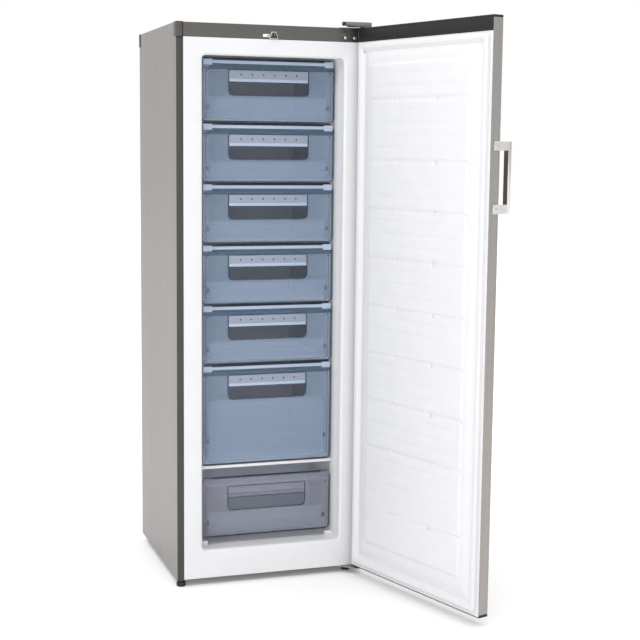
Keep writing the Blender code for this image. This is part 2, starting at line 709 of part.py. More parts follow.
def door_inside(looks, hinge, shift):
    """White liner with its two-step raised panel, the foam behind it and the seal around it."""
    edge_low = DOOR_BOTTOM + CAP_PLATE + GAP
    edge_high = DOOR_TOP - DOOR_BAND - GAP
    half = HALF - SHEET - GAP

    def face_ring(inset, top, low, rise, radius):
        return upright(rounded(HALF - inset, low, top, radius), DOOR_INNER + rise)

    steps = [
        (HALF - half, edge_high, edge_low, 0.0, 0.002),
        (0.059, 1.6180, 0.0870, 0.0, 0.012),
        (0.069, 1.6060, 0.1050, PANEL_LOW_RISE, 0.014),
        (0.078, 1.5900, 0.1260, PANEL_LOW_RISE, 0.014),
        (0.0845, 1.5830, 0.1330, PANEL_HIGH_RISE, 0.014),
    ]
    seen = [face_ring(*step) for step in steps]
    sheet = 0.0015
    hidden = [[(x, y - sheet, z) for x, y, z in ring] for ring in seen]
    piece("door_liner", loft(list(reversed(seen)) + hidden), looks["white_liner"], hinge, shift)

    core = [[(x, y - sheet - GAP, z) for x, y, z in ring] for ring in seen]
    front = rounded(half, edge_low, edge_high, 0.002)
    core.insert(0, upright(front, DOOR_OUTER + SHEET + GAP))
    piece("door_foam", loft(core), looks["foam"], hinge, shift)

    width, stand = GASKET_WIDTH, GASKET_STAND
    profile = [
        (0.0, GAP),
        (0.0, 0.55 * stand),
        (0.22 * width, stand),
        (0.78 * width, stand),
        (width, 0.55 * stand),
        (width, GAP),
    ]
    top = edge_high - 0.004
    low = DOOR_BOTTOM + 0.0160
    rings = [face_ring(GASKET_INSET + off, top - off, low + off, rise, 0.004) for off, rise in profile]
    piece("door_gasket", loft(rings, closed=True), looks["gasket"], hinge, shift)


def handle(looks, hinge, shift):
    """A bar stood off the door's front by two posts that are screwed to the door's side edge."""
    edge = -HALF - GAP
    bar_back, bar_front = DOOR_OUTER - 0.0280, DOOR_OUTER - 0.0400
    width = 0.0200
    outline = rounded(width / 2, bar_front, bar_back, 0.0025, edge + width / 2 - 0.003)
    bar = loft([flat(outline, HANDLE_LOW), flat(outline, HANDLE_HIGH)])
    piece("handle_bar", bar, looks["handle"], hinge, shift)
    for name, low in (("lower", HANDLE_LOW), ("upper", HANDLE_HIGH - POST_HEIGHT)):
        post = [
            (edge - 0.003, DOOR_INNER - 0.0120),
            (edge, DOOR_INNER - 0.0120),
            (edge, DOOR_OUTER - 0.0030),
            (edge + 0.0120, DOOR_OUTER - 0.0070),
            (edge + 0.0120, bar_back + GAP),
            (edge - 0.003, bar_back + GAP),
        ]
        shape = prism_z(post, low, low + POST_HEIGHT)
        piece(f"handle_post_{name}", shape, looks["handle"], hinge, shift)


def door(looks, root):
    """Everything that swings with the door, on an empty at the hinge axis."""
    hinge = empty("door_hinge", (HINGE_X, HINGE_Y, 0.0), root)
    hinge.rotation_euler = (0.0, 0.0, REST_ANGLE)
    shift = (-HINGE_X, -HINGE_Y, 0.0)
    door_skin(looks, hinge, shift)
    door_caps(looks, hinge, shift)
    door_inside(looks, hinge, shift)
    handle(looks, hinge, shift)


# ---------------------------------------------------------------- assembly

def centre_on_floor(root):
    """Moves the assembly so that its own box stands on the origin."""
    bpy.context.view_layer.update()
    depsgraph = bpy.context.evaluated_depsgraph_get()
    corners = []
    for obj in bpy.context.scene.objects:
        if obj.type == "EMPTY" or obj.hide_render:
            continue
        seen = obj.evaluated_get(depsgraph)
        corners += [obj.matrix_world @ vertex.co for vertex in seen.to_mesh().vertices]
        seen.to_mesh_clear()
    across = [corner.x for corner in corners]
    along = [corner.y for corner in corners]
    root.location = (-(min(across) + max(across)) / 2, -(min(along) + max(along)) / 2, 0.0)
    bpy.context.view_layer.update()


def main():
    """Clears the scene and builds the freezer."""
    for obj in list(bpy.data.objects):
        bpy.data.objects.remove(obj, do_unlink=True)
    looks = finishes()
    root = empty("cabinet", (0.0, 0.0, 0.0))
    cabinet_skin(looks, root)
    cabinet_liner(looks, root)
    cabinet_foam(looks, root)
    fascia(looks, root)
    controls(looks, root)
    top_hinge(looks, root)
    bottom_hinge(looks, root)
    feet(looks, root)
    machine(looks, root)
    cooling(looks, root)
    drawers(looks, root)
    door(looks, root)
    centre_on_floor(root)


main()
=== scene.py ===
"""Looks of a tall upright freezer with one door and seven drawers: fine meshes, finishes, light and camera.

Pieces are drawn in the cabinet's own coordinates, in metres: X to the right from the cabinet's middle, Y to
the back from the plane of its front flange, Z up from the floor. The door is drawn closed, and then swung
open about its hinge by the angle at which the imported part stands.
"""

import json
import logging
import math
from collections.abc import Sequence
from dataclasses import dataclass, field
from enum import Enum, IntEnum

import bmesh
import bpy
import numpy as np
from mathutils import Matrix, Vector


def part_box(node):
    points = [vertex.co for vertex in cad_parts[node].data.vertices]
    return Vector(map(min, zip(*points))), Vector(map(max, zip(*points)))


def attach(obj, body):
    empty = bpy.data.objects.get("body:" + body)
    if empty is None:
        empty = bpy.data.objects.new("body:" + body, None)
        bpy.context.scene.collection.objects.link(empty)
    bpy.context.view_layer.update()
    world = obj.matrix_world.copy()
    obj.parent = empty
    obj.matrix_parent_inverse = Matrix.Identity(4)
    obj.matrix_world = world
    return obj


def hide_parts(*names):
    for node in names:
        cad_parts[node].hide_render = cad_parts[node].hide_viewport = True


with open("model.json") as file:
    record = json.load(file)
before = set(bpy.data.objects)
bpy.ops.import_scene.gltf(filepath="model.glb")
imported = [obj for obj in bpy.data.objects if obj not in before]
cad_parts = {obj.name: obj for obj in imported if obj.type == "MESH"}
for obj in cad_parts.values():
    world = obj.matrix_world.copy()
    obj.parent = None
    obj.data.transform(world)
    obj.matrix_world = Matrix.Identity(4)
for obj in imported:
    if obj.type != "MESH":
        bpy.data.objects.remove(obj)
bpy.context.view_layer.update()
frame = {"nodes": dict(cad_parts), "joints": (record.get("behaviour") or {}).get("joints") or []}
LOG = logging.getLogger("freezer")

Point = tuple[float, float, float]
Pair = tuple[float, float]
Ring = list[Point]
MM = 0.001
# The clearance that neighbouring pieces keep.
GAP = 0.0003
SHELVES = range(1, 7)


# ---------------------------------------------------------------- outlines

def arc(centre: Pair, radius: float, start: float, stop: float, steps: int) -> list[Pair]:
    """Points of a circular arc.

    Args:
        centre: The arc's centre.
        radius: The arc's radius.
        start: The first angle, in degrees.
        stop: The last angle, in degrees.
        steps: How many chords the arc has.

    Returns:
        The points, both ends among them.
    """
    turns = [math.radians(start + (stop - start) * step / steps) for step in range(steps + 1)]
    return [(centre[0] + radius * math.cos(t), centre[1] + radius * math.sin(t)) for t in turns]


def rounded(half: float, low: float, high: float, radius: float, centre: float = 0.0,
            foot_radius: float | None = None, steps: int = 6) -> list[Pair]:
    """A rectangle with round corners.

    Args:
        half: Half its width.
        low: Its lower edge.
        high: Its upper edge.
        radius: The radius of its corners.
        centre: The middle of its width.
        foot_radius: The radius of its two lower corners, if that differs.
        steps: How many chords a corner has.

    Returns:
        The outline's points, the same number whatever the radii.
    """
    foot = radius if foot_radius is None else foot_radius
    corners = (
        (centre + half - radius, high - radius, radius, 0),
        (centre - half + radius, high - radius, radius, 90),
        (centre - half + foot, low + foot, foot, 180),
        (centre + half - foot, low + foot, foot, 270),
    )
    return [point for x, y, r, start in corners for point in arc((x, y), r, start, start + 90, steps)]


def upright(outline: Sequence[Pair], y: float) -> Ring:
    """An outline of (x, z) pairs stood up at depth y."""
    return [(x, y, z) for x, z in outline]


def flat(outline: Sequence[Pair], z: float) -> Ring:
    """An outline of (x, y) pairs laid at height z."""
    return [(x, y, z) for x, y in outline]


def layers(low: Point, high: Point, radius: float, levels: Sequence[Pair], steps: int = 6,
           widen: float = 0.0) -> list[Ring]:
    """Rounded rectangles over the plan of a box.

    Args:
        low: The box's lowest corner.
        high: Its highest corner.
        radius: The radius of the rectangles' corners.
        levels: For each rectangle, how far it is pulled in, and its height.
        steps: How many chords a corner has.
        widen: How much the radius grows for each metre that a rectangle is pulled in.

    Returns:
        The rings, in the order of the levels.
    """
    half, centre = (high[0] - low[0]) / 2, (low[0] + high[0]) / 2
    rings = []
    for inset, z in levels:
        near, far, corner = low[1] + inset, high[1] - inset, radius + inset * widen
        rings.append(flat(rounded(half - inset, near, far, corner, centre, steps=steps), z))
    return rings


def middle(low: Point, high: Point) -> Point:
    """The middle of a box."""
    return tuple((a + b) / 2 for a, b in zip(low, high))


def smooth(value: np.ndarray) -> np.ndarray:
    """A soft step that goes from 0 at 0 to 1 at 1."""
    held = np.clip(value, 0.0, 1.0)
    return held * held * (3.0 - 2.0 * held)


# ---------------------------------------------------------------- shapes

class Shape:
    """Points and faces of one piece, with the number of the finish that each face takes."""

    def __init__(self) -> None:
        self.points: list[Point] = []
        self.faces: list[tuple[int, ...]] = []
        self.finishes: list[int] = []

    def _hold(self, ring: Sequence[Point]) -> list[int]:
        """Keeps a ring's points and gives their numbers."""
        start = len(self.points)
        self.points.extend(tuple(map(float, point)) for point in ring)
        return list(range(start, len(self.points)))

    def _face(self, corners: Sequence[int], finish: int) -> None:
        """Keeps one face."""
        self.faces.append(tuple(corners))
        self.finishes.append(finish)

    def skin(self, rings: Sequence[Ring], finish: int | Sequence[int] = 0, closed: bool = False) -> "Shape":
        """Skins rings of equal length.

        Args:
            rings: The rings, in order.
            finish: One finish number, or one for each band between two rings.
            closed: True where the last ring meets the first; otherwise both ends are capped.

        Returns:
            This shape.
        """
        made = [self._hold(ring) for ring in rings]
        bands = list(zip(made, made[1:]))
        if closed:
            bands.append((made[-1], made[0]))
        for number, (near, far) in enumerate(bands):
            chosen = finish if isinstance(finish, int) else finish[number]
            for i in range(len(near)):
                j = (i + 1) % len(near)
                self._face((near[i], near[j], far[j], far[i]), chosen)
        if not closed:
            ends = (finish, finish) if isinstance(finish, int) else (finish[0], finish[-1])
            self._face(made[0], ends[0])
            self._face(made[-1][::-1], ends[1])
        return self

    def prism(self, outline: Sequence[Pair], near: float, far: float, axis: int = 2,
              finish: int = 0) -> "Shape":
        """Draws an outline out along an axis.

        Args:
            outline: Pairs in the two other axes, in the order X, Y, Z.
            near: Where it starts along the axis.
            far: Where it ends.
            axis: 0 for X, 1 for Y, 2 for Z.
            finish: Its finish number.

        Returns:
            This shape.
        """
        def lifted(along: float) -> Ring:
            """The outline at one place along the axis."""
            return [tuple(np.insert(pair, axis, along)) for pair in outline]

        return self.skin([lifted(near), lifted(far)], finish)

    def block(self, low: Point, high: Point, radius: float = 0.0005, finish: int = 0,
              steps: int = 2) -> "Shape":
        """A box whose edges and corners are round.

        Args:
            low: Its lowest corner.
            high: Its highest corner.
            radius: The radius of its edges.
            finish: Its finish number.
            steps: How many chords an edge has.

        Returns:
            This shape.
        """
        (x0, y0, z0), (x1, y1, z1) = low, high
        half, centre = (x1 - x0) / 2, (x0 + x1) / 2
        rings = []
        for step in range(steps + 1):
            turn = math.pi / 2 * step / steps
            inset, rise = radius * (1 - math.sin(turn)), radius * (1 - math.cos(turn))
            corner = max(radius - inset, radius / 5)
            outline = rounded(half - inset, y0 + inset, y1 - inset, corner, centre, steps=steps)
            rings.append((outline, rise))
        whole = [flat(outline, z0 + rise) for outline, rise in rings]
        whole += [flat(outline, z1 - rise) for outline, rise in reversed(rings)]
        return self.skin(whole, finish)

    def pair(self, low: Point, high: Point, radius: float = 0.0005, finish: int = 0) -> "Shape":
        """Adds a block on the right and its mirror image on the left.

        Args:
            low: The right one's lowest corner.
            high: Its highest corner.
            radius: The radius of its edges.
            finish: Its finish number.

        Returns:
            This shape.
        """
        for side in (-1, 1):
            x0, x1 = sorted((side * low[0], side * high[0]))
            self.block((x0, *low[1:]), (x1, *high[1:]), radius, finish)
        return self

    def turned(self, profile: Sequence[Pair], centre: Point, axis: int = 2, steps: int = 32,
               flutes: int = 0, flute_depth: float = 0.0, finish: int = 0) -> "Shape":
        """A turned solid, with flutes round it if wanted.

        Args:
            profile: (radius, distance along the axis) pairs.
            centre: The point that distances start from.
            axis: 0 for X, 1 for Y, 2 for Z.
            steps: How many sides it has.
            flutes: How many flutes it has.
            flute_depth: How deep a flute is, as a share of the radius.
            finish: Its finish number.

        Returns:
            This shape.
        """
        rings = []
        for radius, along in profile:
            ring = []
            for step in range(steps):
                turn = 2 * math.pi * step / steps
                reach = radius * (1 - flute_depth * (0.5 - 0.5 * math.cos(flutes * turn)))
                spot = np.insert((reach * math.cos(turn), reach * math.sin(turn)), axis, along)
                ring.append(tuple(spot + np.array(centre)))
            rings.append(ring)
        return self.skin(rings, finish)

    def tube(self, route: Sequence[Point], radius: float, sides: int = 10, finish: int = 0) -> "Shape":
        """A round tube or wire along a route, with filled ends.

        Args:
            route: The points of its centreline.
            radius: Its outer radius.
            sides: How many sides it has.
            finish: Its finish number.

        Returns:
            This shape.
        """
        points = [Vector(point) for point in route]
        across = None
        rings = []
        for i, point in enumerate(points):
            ahead = (points[min(i + 1, len(points) - 1)] - points[max(i - 1, 0)]).normalized()
            if across is None:
                across = ahead.orthogonal().normalized()
            across = (across - ahead * across.dot(ahead)).normalized()
            other = ahead.cross(across)
            turns = [2 * math.pi * side / sides for side in range(sides)]
            rings.append([tuple(point + radius * (math.cos(t) * across + math.sin(t) * other))
                          for t in turns])
        return self.skin(rings, finish)

    def slab(self, front: np.ndarray, back: np.ndarray, finish: int = 0) -> "Shape":
        """A sheet between two grids of points.

        Args:
            front: The seen face, as rows of points.
            back: The hidden face, as rows of points.
            finish: Its finish number.

        Returns:
            This shape.
        """
        rows, columns = front.shape[:2]
        near = np.array(self._hold(front.reshape(-1, 3))).reshape(rows, columns)
        far = np.array(self._hold(back.reshape(-1, 3))).reshape(rows, columns)
        for grid in (near, far[:, ::-1]):
            for r in range(rows - 1):
                for c in range(columns - 1):
                    self._face((grid[r, c], grid[r, c + 1], grid[r + 1, c + 1], grid[r + 1, c]), finish)
        border = [(0, c) for c in range(columns)]
        border += [(r, columns - 1) for r in range(1, rows)]
        border += [(rows - 1, c) for c in range(columns - 2, -1, -1)]
        border += [(r, 0) for r in range(rows - 2, 0, -1)]
        for here, there in zip(border, border[1:] + border[:1]):
            self._face((near[here], near[there], far[there], far[here]), finish)
        return self

    def mesh(self, name: str, place: Matrix, crease: float) -> bpy.types.Mesh:
        """Makes the mesh.

        Args:
            name: Its name.
            place: Where it goes in the frame.
            crease: The angle, in degrees, from which an edge is sharp.

        Returns:
            The mesh, its faces pointing out.
        """
        data = bpy.data.meshes.new(name)
        data.from_pydata(self.points, [], self.faces)
        data.polygons.foreach_set("material_index", self.finishes)
        data.transform(place)
        work = bmesh.new()
        work.from_mesh(data)
        bmesh.ops.recalc_face_normals(work, faces=work.faces)
        work.to_mesh(data)
        work.free()
        data.shade_smooth()
        data.set_sharp_from_angle(angle=math.radians(crease))
        return data


def screw_head(shape: Shape, centre: Point, radius: float, height: float, axis: int = 1,
               facing: int = -1, finish: int = 0) -> None:
    """Adds a pan screw head with a hollow in its middle.

    Args:
        shape: The shape that gets it.
        centre: The middle of its seat.
        radius: Its radius.
        height: How far it stands up.
        axis: The axis that it points along.
        facing: 1 along the axis, -1 against it.
        finish: Its finish number.
    """
    steps = ((1.0, 0.0), (1.0, 0.35), (0.86, 0.75), (0.6, 1.0), (0.34, 1.0), (0.26, 0.45), (0.1, 0.4))
    profile = [(radius * share, facing * height * rise) for share, rise in steps]
    shape.turned(profile, centre, axis, 16, finish=finish)


# ---------------------------------------------------------------- finishes

def linear(colour: str) -> tuple[float, float, float, float]:
    """Turns an sRGB hex colour into linear RGBA."""
    parts = [int(colour[i:i + 2], 16) / 255 for i in (1, 3, 5)]
    return (*[p / 12.92 if p <= 0.04045 else ((p + 0.055) / 1.055) ** 2.4 for p in parts], 1.0)


def add_node(tree: bpy.types.NodeTree, kind: str, settings: dict | None = None,
             links: dict | None = None) -> bpy.types.Node:
    """Adds one shader node.

    Args:
        tree: The node tree.
        kind: The node's type.
        settings: Values by name or number of a socket, or by name of one of the node's own properties.
        links: Sockets to link from, by name or number of this node's socket.

    Returns:
        The node.
    """
    node = tree.nodes.new(kind)
    for key, value in (settings or {}).items():
        if isinstance(key, str) and key in node.bl_rna.properties:
            setattr(node, key, value)
        else:
            node.inputs[key].default_value = value
    for key, socket in (links or {}).items():
        tree.links.new(socket, node.inputs[key])
    return node


class Grain(Enum):
    """How a pattern is stretched along X, Y and Z."""

    EVEN = (1.0, 1.0, 1.0)
    UP = (1.0, 1.0, 0.012)
    ACROSS = (0.02, 1.0, 1.0)
    SHEETS = (1.0, 1.0, 0.25)


@dataclass(frozen=True)
class Finish:
    """A surface whose colour, gloss and height vary a little with one pattern.

    Attributes:
        name: The material's name.
        colour: Its main colour.
        shade: The colour that the pattern brings in.
        roughness: Its mean roughness.
        spread: How far the pattern moves the roughness either way.
        metallic: 1 for bare metal.
        grain: How the pattern is stretched.
        size: The pattern's size in millimetres.
        depth: The height of its relief in millimetres.
        alpha: How much one face covers.
        ior: Index of refraction; metals keep the default.
        coat: Weight of a clear coat.
    """

    name: str
    colour: str
    shade: str
    roughness: float
    spread: float = 0.05
    metallic: float = 0.0
    grain: Grain = Grain.EVEN
    size: float = 3.0
    depth: float = 0.02
    alpha: float = 1.0
    ior: float = 1.5
    coat: float = 0.0

    def material(self) -> bpy.types.Material:
        """The Blender material, made when it is first asked for."""
        found = bpy.data.materials.get(self.name)
        if found:
            return found
        made = bpy.data.materials.new(self.name)
        made.use_nodes = True
        tree = made.node_tree
        shader = tree.nodes["Principled BSDF"]
        values = {"Roughness": self.roughness, "Metallic": self.metallic, "IOR": self.ior,
                  "Alpha": self.alpha, "Coat Weight": self.coat, "Base Color": linear(self.colour)}
        for socket, value in values.items():
            shader.inputs[socket].default_value = value
        self.surface(tree, shader)
        return made

    def pattern(self, tree: bpy.types.NodeTree) -> bpy.types.NodeSocket:
        """A cloud of the finish's size, as a number from 0 to 1."""
        place = add_node(tree, "ShaderNodeTexCoord").outputs["Object"]
        stretched = add_node(tree, "ShaderNodeMapping", {"Scale": self.grain.value}, {"Vector": place})
        cloud = add_node(tree, "ShaderNodeTexNoise",
                         {"Scale": 1000.0 / self.size, "Detail": 4.0, "Roughness": 0.6},
                         {"Vector": stretched.outputs["Vector"]})
        return cloud.outputs["Fac"]

    def surface(self, tree: bpy.types.NodeTree, shader: bpy.types.Node) -> None:
        """Lets the pattern drive colour, roughness and relief.

        Args:
            tree: The material's nodes.
            shader: Its Principled shader.
        """
        factor = self.pattern(tree)
        steep = add_node(tree, "ShaderNodeMapRange", {"From Min": 0.3, "From Max": 0.7}, {"Value": factor})
        colour = add_node(tree, "ShaderNodeMix",
                          {"data_type": "RGBA", 6: linear(self.colour), 7: linear(self.shade)},
                          {0: steep.outputs["Result"]})
        tree.links.new(colour.outputs[2], shader.inputs["Base Color"])
        gloss = add_node(tree, "ShaderNodeMapRange",
                         {"To Min": self.roughness - self.spread, "To Max": self.roughness + self.spread},
                         {"Value": steep.outputs["Result"]})
        tree.links.new(gloss.outputs["Result"], shader.inputs["Roughness"])
        relief = add_node(tree, "ShaderNodeBump", {"Distance": self.depth * MM, "Strength": 1.0},
                          {"Height": factor})
        tree.links.new(relief.outputs["Normal"], shader.inputs["Normal"])


@dataclass(frozen=True)
class Spangled(Finish):
    """Hot-dip galvanised sheet, whose crystals lie as angular patches of lighter and darker grey."""

    def pattern(self, tree: bpy.types.NodeTree) -> bpy.types.NodeSocket:
        """One even value for each crystal."""
        place = add_node(tree, "ShaderNodeTexCoord").outputs["Object"]
        cells = add_node(tree, "ShaderNodeTexVoronoi", {"Scale": 1000.0 / self.size}, {"Vector": place})
        grey = add_node(tree, "ShaderNodeRGBToBW", links={"Color": cells.outputs["Color"]})
        return grey.outputs["Val"]


@dataclass(frozen=True)
class Foamed(Finish):
    """Rigid polyurethane foam, with the rims of its cells standing up round their hollows."""

    def pattern(self, tree: bpy.types.NodeTree) -> bpy.types.NodeSocket:
        """The distance from the middle of each cell."""
        place = add_node(tree, "ShaderNodeTexCoord").outputs["Object"]
        cells = add_node(tree, "ShaderNodeTexVoronoi", {"Scale": 1000.0 / self.size}, {"Vector": place})
        return cells.outputs["Distance"]


@dataclass(frozen=True)
class Abs(Finish):
    """ABS moulded in a spark-eroded tool: an even matt grain."""

    ior: float = 1.53


@dataclass(frozen=True)
class Polystyrene(Finish):
    """Clear polystyrene, which bends light strongly."""

    ior: float = 1.59


# Cold-rolled steel with a brushed-look film: a warm silver grey with soft upright streaks. The real streaks
# are a few tenths of a millimetre wide and are drawn coarser, to show.
SIDE_STEEL = Finish("side_film_steel", "#918D8C", "#8D8988", 0.42, 0.02, 0.85, Grain.UP, 34.0, 0.004)
# The door's sheet is the lighter grade, with narrower streaks and a little less shine.
DOOR_STEEL = Finish("door_brushed_steel", "#A9A5A2", "#A19D9A", 0.50, 0.04, 0.85, Grain.UP, 5.0, 0.006)
# The band above the opening and the lid: dark warm grey.
TRIM_ABS = Abs("grey_moulded_abs", "#565350", "#4E4B48", 0.48, size=1.6, depth=0.06)
# Enamelled fold of the side panel: darker than the band above it and smoother.
FOLD_ENAMEL = Finish("dark_fold_enamel", "#3B3935", "#33312E", 0.42, 0.04, grain=Grain.UP, size=9.0)
# The hinge-side end block has a coarser and darker grain.
BLOCK_ABS = Abs("dark_grained_abs", "#5A5652", "#141312", 0.50, 0.06, size=9.0, depth=0.06)
# The corner block at the left comes from another tool and is a shade darker than the band.
CORNER_ABS = Abs("corner_block_abs", "#4B4844", "#413E3B", 0.50, size=4.0, depth=0.06)
# The hinge cover is moulded in the lighter grade.
COVER_ABS = Abs("light_cover_abs", "#7B7874", "#716E6A", 0.42, size=2.0, depth=0.05)
# The door's moulded caps: near-black and dull.
CAP_ABS = Abs("door_cap_abs", "#0E0C0B", "#0A0908", 0.60, 0.06, grain=Grain.ACROSS, size=4.0, depth=0.04)
# Bezel and knob: grey, the bezel lighter and satin.
BEZEL_ABS = Abs("light_grey_abs", "#B7B6B3", "#A9A8A5", 0.34, size=1.8, depth=0.04)
KNOB_ABS = Abs("charcoal_abs", "#34312F", "#292725", 0.40, size=1.5, depth=0.05)
# Polypropylene feet and strips: black, slightly greasy, with a moulded grain.
BLACK_PP = Finish("black_polypropylene", "#161616", "#202020", 0.5, 0.08, size=2.0, depth=0.08, ior=1.49)
# Baked black enamel of the compressor: glossy with an orange-peel skin.
ENAMEL = Finish("black_baked_enamel", "#0F0F10", "#17171A", 0.24, 0.06, size=4.0, depth=0.12, coat=0.4)
# High-impact polystyrene sheet drawn over a mould: clean white, soft gloss, faint draw marks.
LINER_HIPS = Finish("white_formed_polystyrene", "#DEDEE0", "#DBDBDD", 0.34, 0.04, size=60.0, depth=0.03)
# Extruded soft PVC of the seal: the liner's white, but dull.
SEAL_PVC = Finish("white_soft_pvc", "#DEDEE0", "#DBDBDD", 0.55, size=7.0)
# Foamed polyurethane: straw-coloured, matt and cellular.
FOAM = Foamed("polyurethane_foam", "#C9B783", "#DCCFA5", 0.92, size=4.0, depth=0.6)
# The drawer fronts' tinted plastic: pale steel blue, glossy, with faint flow lines.
FRONT_CLEAR = Polystyrene("tinted_clear_polystyrene", "#9DB2CC", "#90A7C3", 0.10, 0.03, grain=Grain.ACROSS,
                          size=12.0, alpha=0.26)
# The plate's lower field is moulded against a finely blasted tool face, which makes it hazy.
FRONT_HAZE = Polystyrene("hazy_polystyrene", "#B3BED2", "#A7B3C9", 0.32, 0.03, size=6.0, depth=0.002,
                         alpha=0.16)
# The same plastic over a coarse blasted face: it scatters most, so the handle plate looks milky.
FRONT_FROST = Polystyrene("frosted_polystyrene", "#B4BED0", "#A8B3C8", 0.42, size=4.0, depth=0.01, alpha=0.46)
# Seen along its length, a rim of the plastic is thick and turns navy.
FRONT_EDGE = Polystyrene("navy_edge_polystyrene", "#1B3757", "#152C49", 0.14, 0.03, size=8.0, alpha=0.66)
# Below the lip the plate is polished on both faces; the dark inside seen through it is painted into its
# slate-blue colour as painted shade.
FRONT_SHADE_BAND = Polystyrene("painted_shade_band_polystyrene", "#33526B", "#2B475F", 0.08, 0.02, grain=Grain.ACROSS,
                         size=14.0, depth=0.01, alpha=0.44)
# Near-black and almost opaque: painted shadow where rims meet and no light gets in, and the colour of the
# small bosses.
FRONT_SHADOW_AND_BOSS = Polystyrene("painted_shadow_and_boss_polystyrene", "#10131F", "#171B2A", 0.2, 0.04, size=8.0, alpha=0.92)
# The top lip catches the light from inside and looks pale blue.
FRONT_LIP = Polystyrene("pale_lip_polystyrene", "#C6D5EA", "#B8C9E2", 0.16, 0.04, grain=Grain.ACROSS,
                        size=10.0, alpha=0.66)
# The bottom drawer is the clearer, greyer grade, its lip too.
LOW_CLEAR = Polystyrene("smoke_grey_polystyrene", "#A3A4B2", "#9697A6", 0.10, 0.03, grain=Grain.ACROSS,
                        size=12.0, alpha=0.20)
LOW_LIP = Polystyrene("smoke_grey_lip_polystyrene", "#9C9CAE", "#8E8EA2", 0.14, 0.03, grain=Grain.ACROSS,
                      size=10.0, alpha=0.34)
# Bins of unfilled clear polystyrene: pale blue, thin and glossy.
BIN_CLEAR = Polystyrene("clear_blue_polystyrene", "#A2B9D6", "#94ACCC", 0.16, 0.04, grain=Grain.SHEETS,
                        size=14.0, alpha=0.16)
# White-coated steel tube of the shelf coils: satin with slight runs in the coating.
COIL_COAT = Finish("white_coated_tube", "#DADDE1", "#C6CACF", 0.38, 0.06, size=6.0, depth=0.1)
# Hot-dip galvanised sheet: cool grey with faint crystals.
ZINC = Spangled("galvanised_sheet", "#A4A6A7", "#9EA0A1", 0.40, 0.03, 1.0, size=9.0, depth=0.003)
# Nickel-plated screws and hinge pins: bright, with turning marks.
NICKEL = Finish("nickel_plated_steel", "#D6D4D0", "#BEBCB8", 0.24, 0.06, 1.0, size=1.5)
# Brushed and anodised aluminium of the handle: satin, with fine upright lines that are drawn coarser.
HANDLE_ALU = Finish("satin_anodised_aluminium", "#E2E0DD", "#D4D2CE", 0.30, 0.05, 0.8, Grain.UP, depth=0.03)
# The handle bar's inner side keeps its dull extrusion skin.
HANDLE_BACK = Finish("dull_extruded_aluminium", "#8E867D", "#7A736B", 0.45, 0.06, 1.0, Grain.UP, depth=0.03)
# Drawn copper pipe: warm, with a light brown film in patches.
COPPER = Finish("drawn_copper", "#C98C6B", "#A86C4B", 0.32, 0.10, 1.0, size=16.0, depth=0.03)
# Screen-printed white plate, its marks in dark ink.
PLATE_WHITE = Finish("white_printed_plate", "#F1F1F1", "#E4E4E4", 0.35, 0.04, size=2.5)
PRINT_INK = Finish("dark_printing_ink", "#3A3A3C", "#2C2C2E", 0.5, size=1.0)


# ---------------------------------------------------------------- the frame's places

@dataclass(frozen=True)
class Layout:
    """Where the freezer stands in the frame.

    Attributes:
        centre_x: The cabinet's middle.
        flange_y: The plane of its front flange.
        hinge: The door's axis.
        open_angle: How far open the door stands, in radians.
    """

    centre_x: float
    flange_y: float
    hinge: Vector
    open_angle: float

    @classmethod
    def read(cls) -> "Layout":
        """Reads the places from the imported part."""
        left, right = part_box("left_side_panel"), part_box("right_side_panel")
        swing = next(joint for joint in frame["joints"] if joint["name"] == "door_swing")
        return cls((left[0].x + right[1].x) / 2, left[0].y, Vector(swing["pos_m"]),
                   -math.radians(min(swing["range_deg"])))

    def cabinet(self) -> Matrix:
        """From the cabinet's coordinates to the frame's."""
        return Matrix.Translation((self.centre_x, self.flange_y, 0.0))

    def door(self) -> Matrix:
        """From the closed door's coordinates to the open door's place in the frame."""
        about = Matrix.Translation(self.hinge)
        return about @ Matrix.Rotation(self.open_angle, 4, "Z") @ about.inverted() @ self.cabinet()

    def box(self, node: str, on_door: bool = False) -> tuple[Point, Point]:
        """A node's box in the coordinates that pieces are drawn in.

        Args:
            node: The node's name.
            on_door: True for the closed door's coordinates.

        Returns:
            Its lowest and highest corner.
        """
        back = (self.door() if on_door else self.cabinet()).inverted()
        spots = np.array([back @ vertex.co for vertex in frame["nodes"][node].data.vertices])
        return tuple(map(float, spots.min(0))), tuple(map(float, spots.max(0)))


@dataclass
class Workshop:
    """Turns shapes into pieces that ride on the frame's bodies, and dresses the nodes that stay.

    Attributes:
        layout: Where things stand.
        body: The body that the next pieces ride on.
        on_door: True while pieces are drawn in the closed door's coordinates.
    """

    layout: Layout
    body: str = "cabinet"
    on_door: bool = False

    def add(self, name: str, shape: Shape, finishes: Sequence[Finish], slot: str,
            crease: float = 38.0) -> bpy.types.Object:
        """Adds a piece, which stands for the CAD node of the same name, if there is one.

        Args:
            name: The piece's name.
            shape: Its shape.
            finishes: Its finishes, in the order of the shape's finish numbers.
            slot: The record's material slot; not used.
            crease: The angle, in degrees, from which its edges are sharp.

        Returns:
            The object.
        """
        place = self.layout.door() if self.on_door else self.layout.cabinet()
        made = bpy.data.objects.new(name, shape.mesh(name, place, crease))
        for finish in finishes:
            made.data.materials.append(finish.material())
        bpy.context.scene.collection.objects.link(made)
        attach(made, self.body)
        if name in frame["nodes"]:
            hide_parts(name)
        LOG.info("%s rides on %s, %d faces", name, self.body, len(shape.faces))
        return made

    def dress(self, finish: Finish, *nodes: str) -> None:
        """Gives CAD nodes that stay a finish.

        Args:
            finish: The finish.
            nodes: The nodes' names.
        """
        for node in nodes:
            for slot in frame["nodes"][node].material_slots:
                slot.material = finish.material()
            LOG.info("%s is dressed in %s", node, finish.name)

    def box(self, node: str) -> tuple[Point, Point]:
        """A node's box in the coordinates that pieces are now drawn in."""
        return self.layout.box(node, self.on_door)


